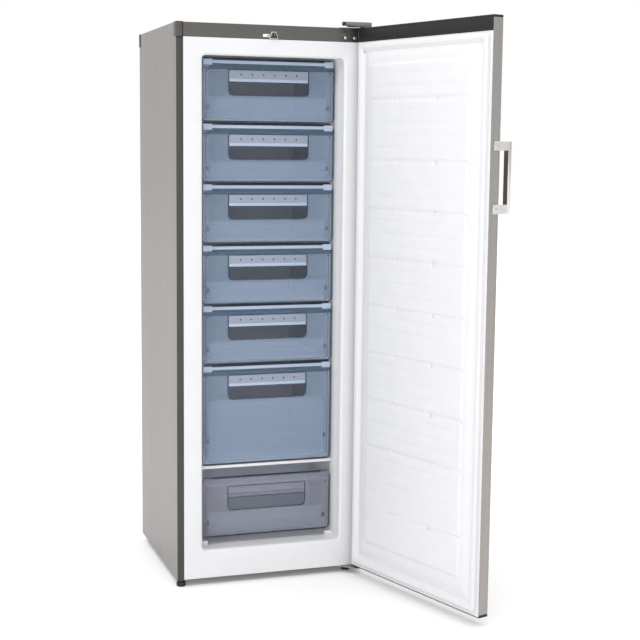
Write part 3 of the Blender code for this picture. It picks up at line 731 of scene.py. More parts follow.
@dataclass
class Assembly:
    """A sub-assembly of the freezer.

    Attributes:
        shop: Where its pieces are made.
    """

    shop: Workshop


# ---------------------------------------------------------------- cabinet

@dataclass
class Cabinet(Assembly):
    """The cabinet's skin, its liner and its foam.

    Attributes:
        fold: Depth of the side panels' folded front edge.
        fold_radius: Outer radius of that fold.
        sheet: Thickness of the side panels.
        shade: Height of the near-black strip at the top of the fold, a painted shadow under the band.
        band_depth: Depth of the notch for the band above the opening.
        mouth_half: Half the opening's width.
        mouth: The opening's lower and upper edge.
        mouth_radius: Radius of the opening's corners.
        tub_half: Half the tub's width.
        tub_top: The tub's ceiling.
        tub_back: The tub's back wall.
        hump: The front and the top of the step over the machine compartment.
        fields: The sides of the three fields that are pressed into the back.
        field_end: From the back's ends to the fields.
        field_rise: How far the fields stand out.
    """

    fold: float = 0.021
    fold_radius: float = 0.0016
    sheet: float = 0.0010
    shade: float = 0.0050
    band_depth: float = 0.0303
    mouth_half: float = 0.2205
    mouth: Pair = (0.110, 1.607)
    mouth_radius: float = 0.012
    tub_half: float = 0.2130
    tub_top: float = 1.611
    tub_back: float = 0.475
    hump: Pair = (0.285, 0.335)
    fields: tuple[Pair, ...] = ((-0.27, -0.10), (-0.085, 0.085), (0.10, 0.27))
    field_end: float = 0.035
    field_rise: float = 0.0018

    def side_panel(self, name: str, side: int) -> None:
        """A folded side panel, notched at its top corners for the band and the rear trim.

        Args:
            name: The node that it stands for.
            side: -1 for the left one, 1 for the right one.
        """
        (x0, _, low), (x1, depth, high) = self.shop.box(name)
        half, bend, thick = max(-x0, x1), self.fold_radius, self.sheet
        outer = arc((half - bend, bend), bend, 0, -90, 6)
        inner = arc((half - bend, bend), bend - thick, -90, 0, 4)
        notch = self.band_depth
        plate = [(half, depth), (half, notch), (half - thick, notch), (half - thick, depth)]
        folded = [*plate[:2], *outer, (half - self.fold, 0.0), (half - self.fold, thick), *inner, *plate[2:]]
        band_low = self.shop.box("top_fascia")[0][2] - GAP
        _, trim_front, trim_low = self.shop.box("rear_top_trim")[0]
        cut = [(x, min(y, trim_front - GAP)) for x, y in plate]
        stretches = ((folded, band_low - self.shade), (folded, band_low), (plate, trim_low - GAP),
                     (cut, high))
        shape = Shape()
        for outline, top in stretches:
            shape.prism([(side * x, y) for x, y in outline], low, top)
            low = top
        # The fold takes the dark fold finish; its top stretch just under the band takes the near-black cap
        # finish as a painted shadow under the band.
        for number, face in enumerate(shape.faces):
            corners = [shape.points[p] for p in face]
            if all(y < 0.6 * bend for _, y, _ in corners):
                # Faces right under the band are picked out here for the painted shadow.
                bare = min(z for _, _, z in corners) > band_low - 1.5 * self.shade
                shape.finishes[number] = 2 if bare else 1
        self.shop.add(name, shape, [SIDE_STEEL, FOLD_ENAMEL, CAP_ABS], "side_steel")

    def back_panel(self) -> None:
        """The flat steel back with three pressed fields, and its screws."""
        (x0, y0, z0), (x1, y1, z1) = self.shop.box("back_panel")
        foot, head, ramp = z0 + self.field_end, z1 - self.field_end, 0.006

        def lines(start: float, stop: float, count: int, marks: Sequence[float]) -> list[float]:
            """Grid lines between two ends: even ones, and some beside each mark."""
            beside = [mark + offset for mark in marks for offset in (-0.004, 0.0, 0.004, 0.008)]
            return sorted({start, stop, *beside, *np.linspace(start, stop, count)})

        sides = [side for both in self.fields for side in both]
        wide, tall = np.meshgrid(lines(x0, x1, 13, sides), lines(z0, z1, 12, (foot, head)))
        lift = np.zeros_like(wide)
        for start, stop in self.fields:
            inside = smooth((wide - start) / ramp) * smooth((stop - wide) / ramp)
            lift += inside * smooth((tall - foot) / ramp) * smooth((head - tall) / ramp)
        front, back = (np.dstack((wide, y + self.field_rise * lift, tall)) for y in (y1, y0))
        self.shop.add("back_panel", Shape().slab(front, back), [ZINC], "zinc")
        screws = Shape()
        for height in np.linspace(z0 + 0.02, z1 - 0.02, 7):
            for x in (x0 + 0.012, x1 - 0.012):
                screw_head(screws, (x, y1, height), 0.0038, 0.0022, facing=1)
        self.shop.add("back_panel_screws", screws, [NICKEL], "zinc")

    def top_panel(self) -> None:
        """The moulded lid, with a shallow raised field and round edges."""
        low, high = self.shop.box("top_panel")
        foot, top, field = low[2], high[2], high[2] + 0.0009
        levels = ((0.0012, foot), (0.0, foot + 0.0006), (0.0, top - 0.0008), (0.0008, top), (0.030, top),
                  (0.034, field), (0.060, field))
        shape = Shape().skin(layers(low, high, 0.004, levels, widen=0.3))
        self.shop.add("top_panel", shape, [TRIM_ABS], "dark_trim")

    def tub_rings(self, grow: float) -> list[Ring]:
        """The tub from its mouth to its back wall.

        Args:
            grow: How far it is grown outwards.

        Returns:
            Its rings, from the front to the back.
        """
        base, high = self.mouth[0] - grow, self.mouth[1] + grow
        top, half, mouth = self.tub_top + grow, self.tub_half + grow, self.mouth_half + grow
        front, crest = self.hump[0] - grow, self.hump[1] - grow
        radius, bend = self.mouth_radius + grow, 0.014
        turns = [math.pi / 2 * share for share in (0.0, 0.35, 0.7, 1.0)]
        bends = [(bend * (1 - math.cos(turn)), bend * (1 - math.sin(turn))) for turn in turns]

        def ring(width: float, floor: float, ceiling: float, y: float) -> Ring:
            """One upright ring."""
            return upright(rounded(width, floor, ceiling, radius, steps=10), y)

        return [
            ring(mouth, base, high, 0.012),
            ring(mouth, base, high, 0.016),
            ring(half + 0.002, base, top - 0.001, 0.030),
            ring(half, base, top, 0.040),
            *[ring(half, base + rise, top, front - drop) for rise, drop in bends],
            *[ring(half, crest - drop, top, front + rise) for rise, drop in bends],
            ring(half, crest, top, self.tub_back - 0.008 + grow),
            ring(half - 0.004, crest + 0.004, top - 0.004, self.tub_back + grow),
        ]

    def liner(self) -> None:
        """The formed liner: front flange, soft entry, tub, ledges for the shelves and two corner tabs."""
        (x0, _, low), (x1, _, high) = self.shop.box("cabinet_liner")
        sheet, (mouth_low, mouth_high) = 0.0018, self.mouth

        def flange(y: float) -> Ring:
            """The flange's outer edge."""
            return upright(rounded((x1 - x0) / 2, low, high, 0.0010, steps=10), y)

        def entry(grow: float, y: float) -> Ring:
            """A ring round the opening, grown by a distance."""
            wide, radius = self.mouth_half + grow, self.mouth_radius + grow
            return upright(rounded(wide, mouth_low - grow, mouth_high + grow, radius, steps=10), y)

        seen = [flange(0.0), entry(0.009, 0.0), entry(0.0055, 0.0006), entry(0.0025, 0.0026),
                entry(0.0008, 0.0060), *self.tub_rings(0.0)]
        hidden = [flange(sheet), entry(0.009, sheet), entry(0.0062, sheet + 0.0006), entry(0.004, 0.0040),
                  entry(0.0026, 0.0070), *self.tub_rings(sheet)]
        shape = Shape().skin(seen[::-1] + hidden)
        for number in SHELVES:
            top = self.shop.box(f"shelf_coil_{number}")[0][2] - 0.0004
            shape.pair((0.2015, 0.086, top - 0.0051), (self.tub_half + 0.001, 0.440, top), 0.0014)
        tab_end = self.mouth_half + 0.0005
        shape.pair((0.192, 0.050, mouth_low - 0.001), (tab_end, 0.074, mouth_low + 0.0130), 0.002)
        self.shop.add("cabinet_liner", shape, [LINER_HIPS], "white_liner", 50.0)

    def shelf_edge(self) -> None:
        """The white moulded edge of the lowest shelf, above the bottom drawer."""
        low = self.shop.box("shelf_coil_6")[0][2]
        half = self.tub_half - 0.001
        shape = Shape().block((-half, 0.0600, low - 0.0145), (half, 0.0640, low - 0.0048), 0.0012)
        shape.block((-half, 0.0620, low - 0.0085), (half, 0.0840, low - 0.0048), 0.0012)
        self.shop.add("lowest_shelf_edge", shape, [SEAL_PVC], "white_liner")

    def build(self) -> None:
        """Makes every piece of the cabinet."""
        self.side_panel("left_side_panel", -1)
        self.side_panel("right_side_panel", 1)
        self.back_panel()
        self.top_panel()
        self.liner()
        self.shelf_edge()
        self.shop.dress(ZINC, "base_panel", "compressor_tray")
        self.shop.dress(BLACK_PP, "rear_top_trim")
        self.shop.dress(FOAM, "cabinet_foam")


# ---------------------------------------------------------------- band above the opening

@dataclass
class ControlBand(Assembly):
    """The dark band above the opening, with the thermostat in it.

    Attributes:
        channel_wall: Thickness of the band's moulding.
        marks: How many graduations the scale has.
        lap: How far the band's left end reaches over the foot of the corner block.
    """

    channel_wall: float = 0.0025
    marks: int = 7
    lap: float = 0.0038

    def channel(self) -> None:
        """The band itself: a channel with round front edges."""
        (x0, y0, low), (x1, y1, high) = self.shop.box("top_fascia")
        wall, bend = self.channel_wall, 0.0022
        outline = [(y1, low), *arc((y0 + bend, low + bend), bend, 270, 180, 5),
                   *arc((y0 + bend, high - bend), bend, 180, 90, 5), (y1, high), (y1, high - wall),
                   (y0 + wall, high - wall), (y0 + wall, low + wall), (y1, low + wall)]
        shape = Shape().prism(outline, x0 - self.lap, x1, 0)
        self.shop.add("top_fascia", shape, [TRIM_ABS], "dark_trim")

    def end_blocks(self) -> None:
        """The left corner block and the hinge-side block, each near-black from a share of its width on:
        painted shadow in the gap at the corner block's end and between the hinge block and the door.
        """
        step = 0.0004
        for node, shadow_from, lap, finish in (("fascia_left_block", 0.90, self.lap, CORNER_ABS),
                                             ("fascia_hinge_block", 0.44, 0.0, BLOCK_ABS)):
            (x0, y0, z0), (x1, y1, z1) = self.shop.box(node)
            x1 -= lap
            split = x0 + (x1 - x0) * shadow_from
            shape = Shape().block((x0, y0, z0), (split, y1, z1), 0.0016, steps=3)
            # The recessed stretch past the split takes the near-black cap finish as painted shadow.
            shape.block((split - step, y0 + step, z0), (x1, y1, z1 - step), 0.0012, 1, 3)
            self.shop.add(node, shape, [finish, CAP_ABS], "dark_trim")

    def screws(self) -> None:
        """The two screws of the hinge-side block."""
        for node in ("fascia_screw_left", "fascia_screw_right"):
            low, high = self.shop.box(node)
            shape = Shape()
            x, _, z = middle(low, high)
            screw_head(shape, (x, high[1], z), (high[0] - low[0]) / 2, high[1] - low[1])
            self.shop.add(node, shape, [NICKEL], "zinc")

    def scale(self) -> None:
        """A plain plate with a rising scale of bars."""
        low, high = self.shop.box("scale_plate")
        shape = Shape().block(low, high, 0.0004)
        pitch = (high[0] - low[0]) * 0.45 / self.marks
        face, foot = low[1], low[2] + 0.0022
        for mark in range(self.marks):
            x = high[0] - 0.0012 - mark * pitch
            top = foot + 0.0018 + 0.0004 * (self.marks - mark)
            shape.block((x - pitch * 0.55, face - 0.00012, foot), (x, face + 0.0001, top), 0.00004, 1, 1)
        self.shop.add("scale_plate", shape, [PLATE_WHITE, PRINT_INK], "white_mark")

    def bezel(self) -> None:
        """The thermostat's bezel: a raised trapezoid frame round a dark well."""
        (x0, y0, z0), (x1, y1, z1) = self.shop.box("thermostat_bezel")
        taper = 0.0065

        def ring(inset: float, y: float) -> Ring:
            """The trapezoid, pulled in by a distance."""
            return [(x1 - taper - inset, y, z1 - inset), (x0 + taper + inset, y, z1 - inset),
                    (x0 + inset, y, z0 + inset), (x1 - inset, y, z0 + inset)]

        levels = ((0.0, y1), (0.0, y0 + 0.0008), (0.0008, y0), (0.0028, y0), (0.0034, y0 + 0.0018))
        shape = Shape().skin([ring(inset, y) for inset, y in levels], [0, 0, 0, 1])
        self.shop.add("thermostat_bezel", shape, [BEZEL_ABS, KNOB_ABS], "white_mark")

    def knob(self) -> None:
        """The thermostat's knob: a fluted skirt, a face and a grip with a pointer line."""
        low, high = self.shop.box("thermostat_knob")
        x, _, z = middle(low, high)
        radius, face, seat = (high[0] - low[0]) / 2, low[1], high[1]
        deep, reach, grip, line = seat - face, radius * 0.74, 0.0012, 0.0003
        skirt = ((1.0, 0.0), (1.0, 0.52), (0.93, 0.64), (0.78, 0.70))
        profile = [(radius * share, -deep * rise) for share, rise in skirt]
        shape = Shape().turned(profile, (x, seat, z), 1, 48, 16, 0.05)
        shape.block((x - grip, face, z - reach), (x + grip, seat - deep * 0.6, z + reach), 0.0005)
        shape.block((x - line, face - 0.0001, z + radius * 0.1), (x + line, face + 0.0004, z + radius * 0.7),
                    0.0001, 1, 1)
        self.shop.body = "thermostat_knob"
        self.shop.add("thermostat_knob", shape, [KNOB_ABS, PLATE_WHITE], "grey_knob")
        self.shop.body = "cabinet"

    def build(self) -> None:
        """Makes every piece of the band."""
        self.channel()
        self.end_blocks()
        self.screws()
        self.scale()
        self.bezel()
        self.knob()


# ---------------------------------------------------------------- hinges and feet

@dataclass
class Hinges(Assembly):
    """The upper hinge with its cover, and the lower one.

    Attributes:
        hook: Width of the hook at the cover's free end.
        free_depth: The cover's depth at that end.
        upper_drop: From the upper leaf's top down to its washer.
        lower_level: Height of the lower washer.
    """

    hook: float = 0.0085
    free_depth: float = 0.0145
    upper_drop: float = 0.0030
    lower_level: float = 0.0217

    def cover(self) -> None:
        """The moulded cover: thinner and shallower at its free end, where a hook reaches down."""
        (x0, y0, z0), (x1, y1, z1) = self.shop.box("top_hinge_cover")
        stations = ((x0, 0.0052, 0.0020), (x0 + 0.0012, 0.0046, 0.0004), (x0 + 0.030, 0.0040, 0.0),
                    (x0 + 0.062, 0.0004, 0.0), (x1 - 0.0020, 0.0, 0.0), (x1 - 0.0006, 0.0004, 0.0006),
                    (x1, 0.0014, 0.0020))
        rings = []
        for x, raised, inset in stations:
            deep = min(y1 - y0, self.free_depth + 1.4 * (x - x0))
            outline = rounded(deep / 2 - inset, z0 + raised, z1 - inset, 0.0026, y0 + deep / 2, steps=4)
            rings.append([(x, y, z) for y, z in outline])
        shape = Shape().skin(rings)
        hook = [(x0 + 0.0004, z1 - 0.0012), (x0 + 0.0004, z0 + 0.0045), (x0 + 0.0040, z0 + 0.0008),
                (x0 + 0.0056, z0 + 0.0008), (x0 + self.hook, z0 + 0.0060), (x0 + self.hook, z1 - 0.0012)]
        shape.skin([upright(hook, y0 - 0.0006), upright(hook, y0 + 0.012)], 1)
        self.shop.add("top_hinge_cover", shape, [COVER_ABS, CAP_ABS], "dark_trim")

    def washer(self, name: str, foot: float) -> None:
        """A shim washer on a hinge pin.

        Args:
            name: Its name.
            foot: The height of its underside.
        """
        hinge = self.shop.layout.cabinet().inverted() @ self.shop.layout.hinge
        profile = ((0.0044, foot), (0.0075, foot), (0.0080, foot + 0.0004), (0.0075, foot + 0.0008),
                   (0.0044, foot + 0.0008))
        turns = [2 * math.pi * side / 24 for side in range(24)]
        rings = [[(hinge.x + radius * math.cos(t), hinge.y + radius * math.sin(t), z) for t in turns]
                 for radius, z in profile]
        self.shop.add(name, Shape().skin(rings, closed=True), [NICKEL], "zinc")

    def build(self) -> None:
        """Makes the cover and the washers, and dresses the two leaves."""
        self.cover()
        self.washer("upper_hinge_washer", self.shop.box("top_hinge_bracket")[1][2] - self.upper_drop)
        self.washer("lower_hinge_washer", self.lower_level)
        self.shop.dress(ZINC, "top_hinge_bracket", "bottom_hinge_bracket")


@dataclass
class Feet(Assembly):
    """Two screw feet at the front and two glides at the back."""

    def screw_foot(self, node: str) -> None:
        """A knurled disc on a threaded stem.

        Args:
            node: The node that it stands for.
        """
        low, high = self.shop.box(node)
        (x, y, _), radius, foot = middle(low, high), (high[0] - low[0]) / 2, low[2]
        steps = ((0.78, 0.0), (0.93, 0.0008), (0.985, 0.0026), (1.0, 0.0042), (1.0, 0.0100), (0.95, 0.0128),
                 (0.84, 0.0146), (0.40, 0.0160))
        profile = [(radius * share, foot + rise) for share, rise in steps]
        shape = Shape().turned(profile[:3], (x, y, 0.0), steps=48)
        shape.turned(profile[2:], (x, y, 0.0), steps=72, flutes=18, flute_depth=0.035)
        root, crest, pitch = 0.0040, 0.0049, 0.0013
        thread = []
        for turn in range(5):
            at = foot + 0.0155 + pitch * turn
            thread += [(root, at), (crest, at + pitch / 2)]
        thread.append((root, min(high[2], foot + 0.0220)))
        shape.turned(thread, (x, y, 0.0), steps=24, finish=1)
        self.shop.body = node
        self.shop.add(node, shape, [BLACK_PP, NICKEL], "black_plastic")
        self.shop.body = "cabinet"

    def glide(self, node: str) -> None:
        """A plain moulded glide with ribs up its stem.

        Args:
            node: The node that it stands for.
        """
        low, high = self.shop.box(node)
        (x, y, _), radius, foot = middle(low, high), (high[0] - low[0]) / 2, low[2]
        disc = ((0.86, 0.0), (0.97, 0.0007), (1.0, 0.0020), (1.0, 0.0108), (0.94, 0.0124), (0.62, 0.0136))
        shape = Shape().turned([(radius * share, foot + rise) for share, rise in disc], (x, y, 0.0), steps=40)
        shape.turned([(radius * 0.62, foot + 0.0130), (radius * 0.58, high[2])], (x, y, 0.0), steps=48,
                     flutes=8, flute_depth=0.12)
        self.shop.add(node, shape, [BLACK_PP], "black_plastic")

    def build(self) -> None:
        """Makes the four feet."""
        for node in ("front_left_foot", "front_right_foot"):
            self.screw_foot(node)
        for node in ("rear_left_foot", "rear_right_foot"):
            self.glide(node)


# ---------------------------------------------------------------- cooling

@dataclass
class Machine(Assembly):
    """What stands in the compartment at the back.

    Attributes:
        stub_radius: Outer radius of the compressor's pipe stubs.
        bush_places: From the base plate's middle to its bushes, across and along.
    """

    stub_radius: float = 0.0032
    bush_places: Pair = (0.070, 0.040)

    def compressor(self) -> None:
        """The welded pot: two drawn halves with a seam between them, and three pipe stubs."""
        low, high = self.shop.box("compressor")
        (x, y, _), radius, foot, top = middle(low, high), (high[0] - low[0]) / 2, low[2], high[2]
        tall = top - foot
        seam, crown = foot + tall * 0.46, foot + tall * 0.46 + 0.0060
        profile = []
        for turn in map(math.radians, (84, 72, 58, 44, 30, 15, 0)):
            reach = radius * 0.96 * math.cos(turn) ** 0.45
            profile.append((reach, foot + tall * 0.42 * (1 - math.sin(turn))))
        profile += [(radius * 0.96, seam), (radius, seam + 0.0010), (radius, seam + 0.0050),
                    (radius * 0.955, crown)]
        for turn in map(math.radians, (10, 25, 40, 54, 68, 80, 86)):
            reach = radius * 0.95 * math.cos(turn) ** 0.45
            profile.append((reach, crown + (top - crown) * math.sin(turn)))
        shape = Shape().turned(profile, (x, y, 0.0), steps=56)
        self.shop.add("compressor", shape, [ENAMEL], "black_enamel")
        stubs = Shape()
        for turn, share in ((200, 0.35), (235, 0.30), (160, 0.33)):
            out = Vector((math.cos(math.radians(turn)), math.sin(math.radians(turn)), 0.0))
            root = Vector((x, y, foot + tall * share)) + out * radius * 0.9
            steps = ((0.0, 0.0), (0.010, 0.0), (0.016, 0.004), (0.018, 0.012), (0.018, 0.028))
            route = [root + out * along + Vector((0, 0, rise)) for along, rise in steps]
            stubs.tube(route, self.stub_radius, 12)
        self.shop.add("compressor_stubs", stubs, [COPPER], "copper")

    def relay(self) -> None:
        """The relay's box with its lid, a row of ribs and a wire clip."""
        (x0, y0, z0), (x1, y1, z1) = self.shop.box("start_relay")
        shape = Shape().block((x0, y0, z0), (x1 - 0.010, y1, z1), 0.002)
        shape.block((x1 - 0.0105, y0, z0 + 0.001), (x1, y1, z1 - 0.001), 0.0025)
        for rib in range(5):
            y = y0 + (y1 - y0) * (rib + 1) / 6
            shape.block((x1 - 0.001, y - 0.0012, z0 + 0.012), (x1 + 0.0006, y + 0.0012, z1 - 0.012), steps=1,
                        radius=0.0003)
        clip = [(x0 + 0.004, y0 - 0.0009, z1 - 0.02), (x0 + 0.010, y0 - 0.0014, z1 + 0.0006),
                (x0 + 0.016, (y0 + y1) / 2, z1 + 0.0012), (x0 + 0.010, y1 + 0.0014, z1 + 0.0006),
                (x0 + 0.004, y1 + 0.0009, z1 - 0.02)]
        shape.tube(clip, 0.0009, 8, 1)
        self.shop.add("start_relay", shape, [BLACK_PP, NICKEL], "black_plastic")

    def mount(self) -> None:
        """The pressed base plate on four rubber bushes with bolts."""
        low, high = self.shop.box("compressor_mount")
        (x, y, _), foot, top = middle(low, high), low[2], high[2]
        plate = top - 0.0020
        levels = ((0.0006, plate), (0.0, plate + 0.0006), (0.0, top - 0.0006), (0.0006, top))
        shape = Shape().skin(layers(low, high, 0.014, levels))
        bush = [(0.0090, foot), (0.0090, foot + 0.003), (0.0072, foot + 0.0045), (0.0072, plate - 0.003),
                (0.0090, plate - 0.0015), (0.0090, plate)]
        bolt = [(0.0056, top - 0.0002), (0.0056, top + 0.0030), (0.0048, top + 0.0036)]
        for dx in (-self.bush_places[0], self.bush_places[0]):
            for dy in (-self.bush_places[1], self.bush_places[1]):
                spot = (x + dx, y + dy, 0.0)
                shape.turned(bush, spot, steps=24, finish=1)
                shape.turned(bolt, spot, steps=6, finish=2)
        finishes = [ZINC, BLACK_PP, NICKEL]
        self.shop.add("compressor_mount", shape, finishes, "zinc")

    def pipes(self) -> None:
        """The outlet pipe, bent smoothly, with a brazed collar at its foot."""
        low, high = self.shop.box("discharge_pipe")
        y, z0, radius = middle(low, high)[1], low[2], (high[1] - low[1]) / 2
        start, stop = low[0] + radius, high[0] - radius
        parts = [step / 24 for step in range(25)]
        route = [(start + (stop - start) * (1 - math.cos(math.pi * part)) / 2, y, z0 + (high[2] - z0) * part)
                 for part in parts]
        shape = Shape().tube(route, radius, 14)
        collar = ((1.15, 0.0), (1.45, 0.001), (1.45, 0.006), (1.1, 0.008))
        shape.turned([(radius * share, z0 + rise) for share, rise in collar], (start, y, 0.0), steps=20)
        self.shop.add("discharge_pipe", shape, [COPPER], "copper")

    def gland(self) -> None:
        """The mains gland: a ribbed sleeve in a clamp plate with two screws."""
        (x0, y0, z0), (x1, y1, z1) = self.shop.box("mains_gland")
        x, top, long = (x0 + x1) / 2, z1 - 0.011, y1 - y0
        ribs = [(0.0108, 0.0), (0.0110, 0.0008), (0.0110, 0.0030), (0.0098, 0.0034), (0.0098, 0.0042),
                (0.0104, 0.0046), (0.0104, 0.0060)]
        mouth = [(0.0086, long - 0.0008), (0.0076, long), (0.0040, long), (0.0040, 0.0030)]
        shape = Shape().turned(ribs + mouth, (x, y0, top), 1, 36)
        plate = y0 + 0.0025
        shape.block((x0, y0, z0), (x1, plate, top), 0.0008)
        for side in (-1, 1):
            centre = (x + side * 0.0105, plate, z0 + 0.0055)
            screw_head(shape, centre, 0.0026, 0.0016, facing=1, finish=1)
        self.shop.add("mains_gland", shape, [BLACK_PP, NICKEL], "black_plastic")

    def build(self) -> None:
        """Makes the machine's pieces and dresses the hidden pipe."""
        self.compressor()
        self.relay()
        self.mount()
        self.pipes()
        self.gland()
        self.shop.dress(COPPER, "condenser_pipe")


@dataclass
class Evaporator(Assembly):
    """Shelf coils between the drawers, their cross wires and the riser that feeds them.

    Attributes:
        pitch: Distance between a coil's runs.
        runs: How many runs a coil has.
        wires: How many wires cross a shelf.
        wire_radius: Their radius.
    """

    pitch: float = 0.046
    runs: int = 8
    wires: int = 13
    wire_radius: float = 0.0007

    def shelf(self, number: int) -> None:
        """One shelf: the serpentine tube and its welded wires.

        Args:
            number: Its number from the top.
        """
        node = f"shelf_coil_{number}"
        (_, y0, z0), (x1, y1, z1) = self.shop.box(node)
        radius, bend = (z1 - z0) / 2, self.pitch / 2
        reach, height = x1 - radius - bend, (z0 + z1) / 2
        turns = [math.radians(angle) for angle in range(15, 180, 15)]
        bends = [(bend * math.sin(turn), bend * (1 - math.cos(turn))) for turn in turns]
        route = []
        for run in range(self.runs):
            side = 1 if run % 2 == 0 else -1
            y = y0 + radius + run * self.pitch
            route += [(-side * reach, y, height), (side * reach, y, height)]
            if run < self.runs - 1:
                route += [(side * (reach + out), y + along, height) for out, along in bends]
        self.shop.add(node, Shape().tube(route, radius, 12), [COIL_COAT], "evaporator")
        grid, level = Shape(), z1 + self.wire_radius
        for wire in range(self.wires):
            x = -reach + 2 * reach * wire / (self.wires - 1)
            grid.tube([(x, y0 + 0.0005, level), (x, y1 - 0.0005, level)], self.wire_radius, 8)
        self.shop.add(f"shelf_wires_{number}", grid, [COIL_COAT], "evaporator")

    def riser(self) -> None:
        """The upright pipe at the back that joins the shelves, with a collar at each."""
        low, high = self.shop.box("evaporator_riser")
        (x, y, _), radius, z0, z1 = middle(low, high), (high[0] - low[0]) / 2, low[2], high[2]
        shape = Shape().tube([(x, y, z0 + (z1 - z0) * step / 12) for step in range(13)], radius, 16)
        for number in SHELVES:
            z = self.shop.box(f"shelf_coil_{number}")[0][2] + 0.004
            if z0 + 0.01 < z < z1 - 0.01:
                collar = ((1.02, -0.006), (1.4, -0.005), (1.4, 0.005), (1.02, 0.006))
                shape.turned([(radius * share, z + rise) for share, rise in collar], (x, y, 0.0), steps=16)
        self.shop.add("evaporator_riser", shape, [COIL_COAT], "evaporator")

    def build(self) -> None:
        """Makes the six shelves and the riser."""
        for number in SHELVES:
            self.shelf(number)
        self.riser()


# ---------------------------------------------------------------- drawers

class Face(IntEnum):
    """The finishes of a drawer's front, in their order."""

    PLATE = 0
    EDGE = 1
    RAIL = 2
    HAZE = 3
    FROST = 4
    SHADOW_AND_BOSS = 5
    BAND = 6


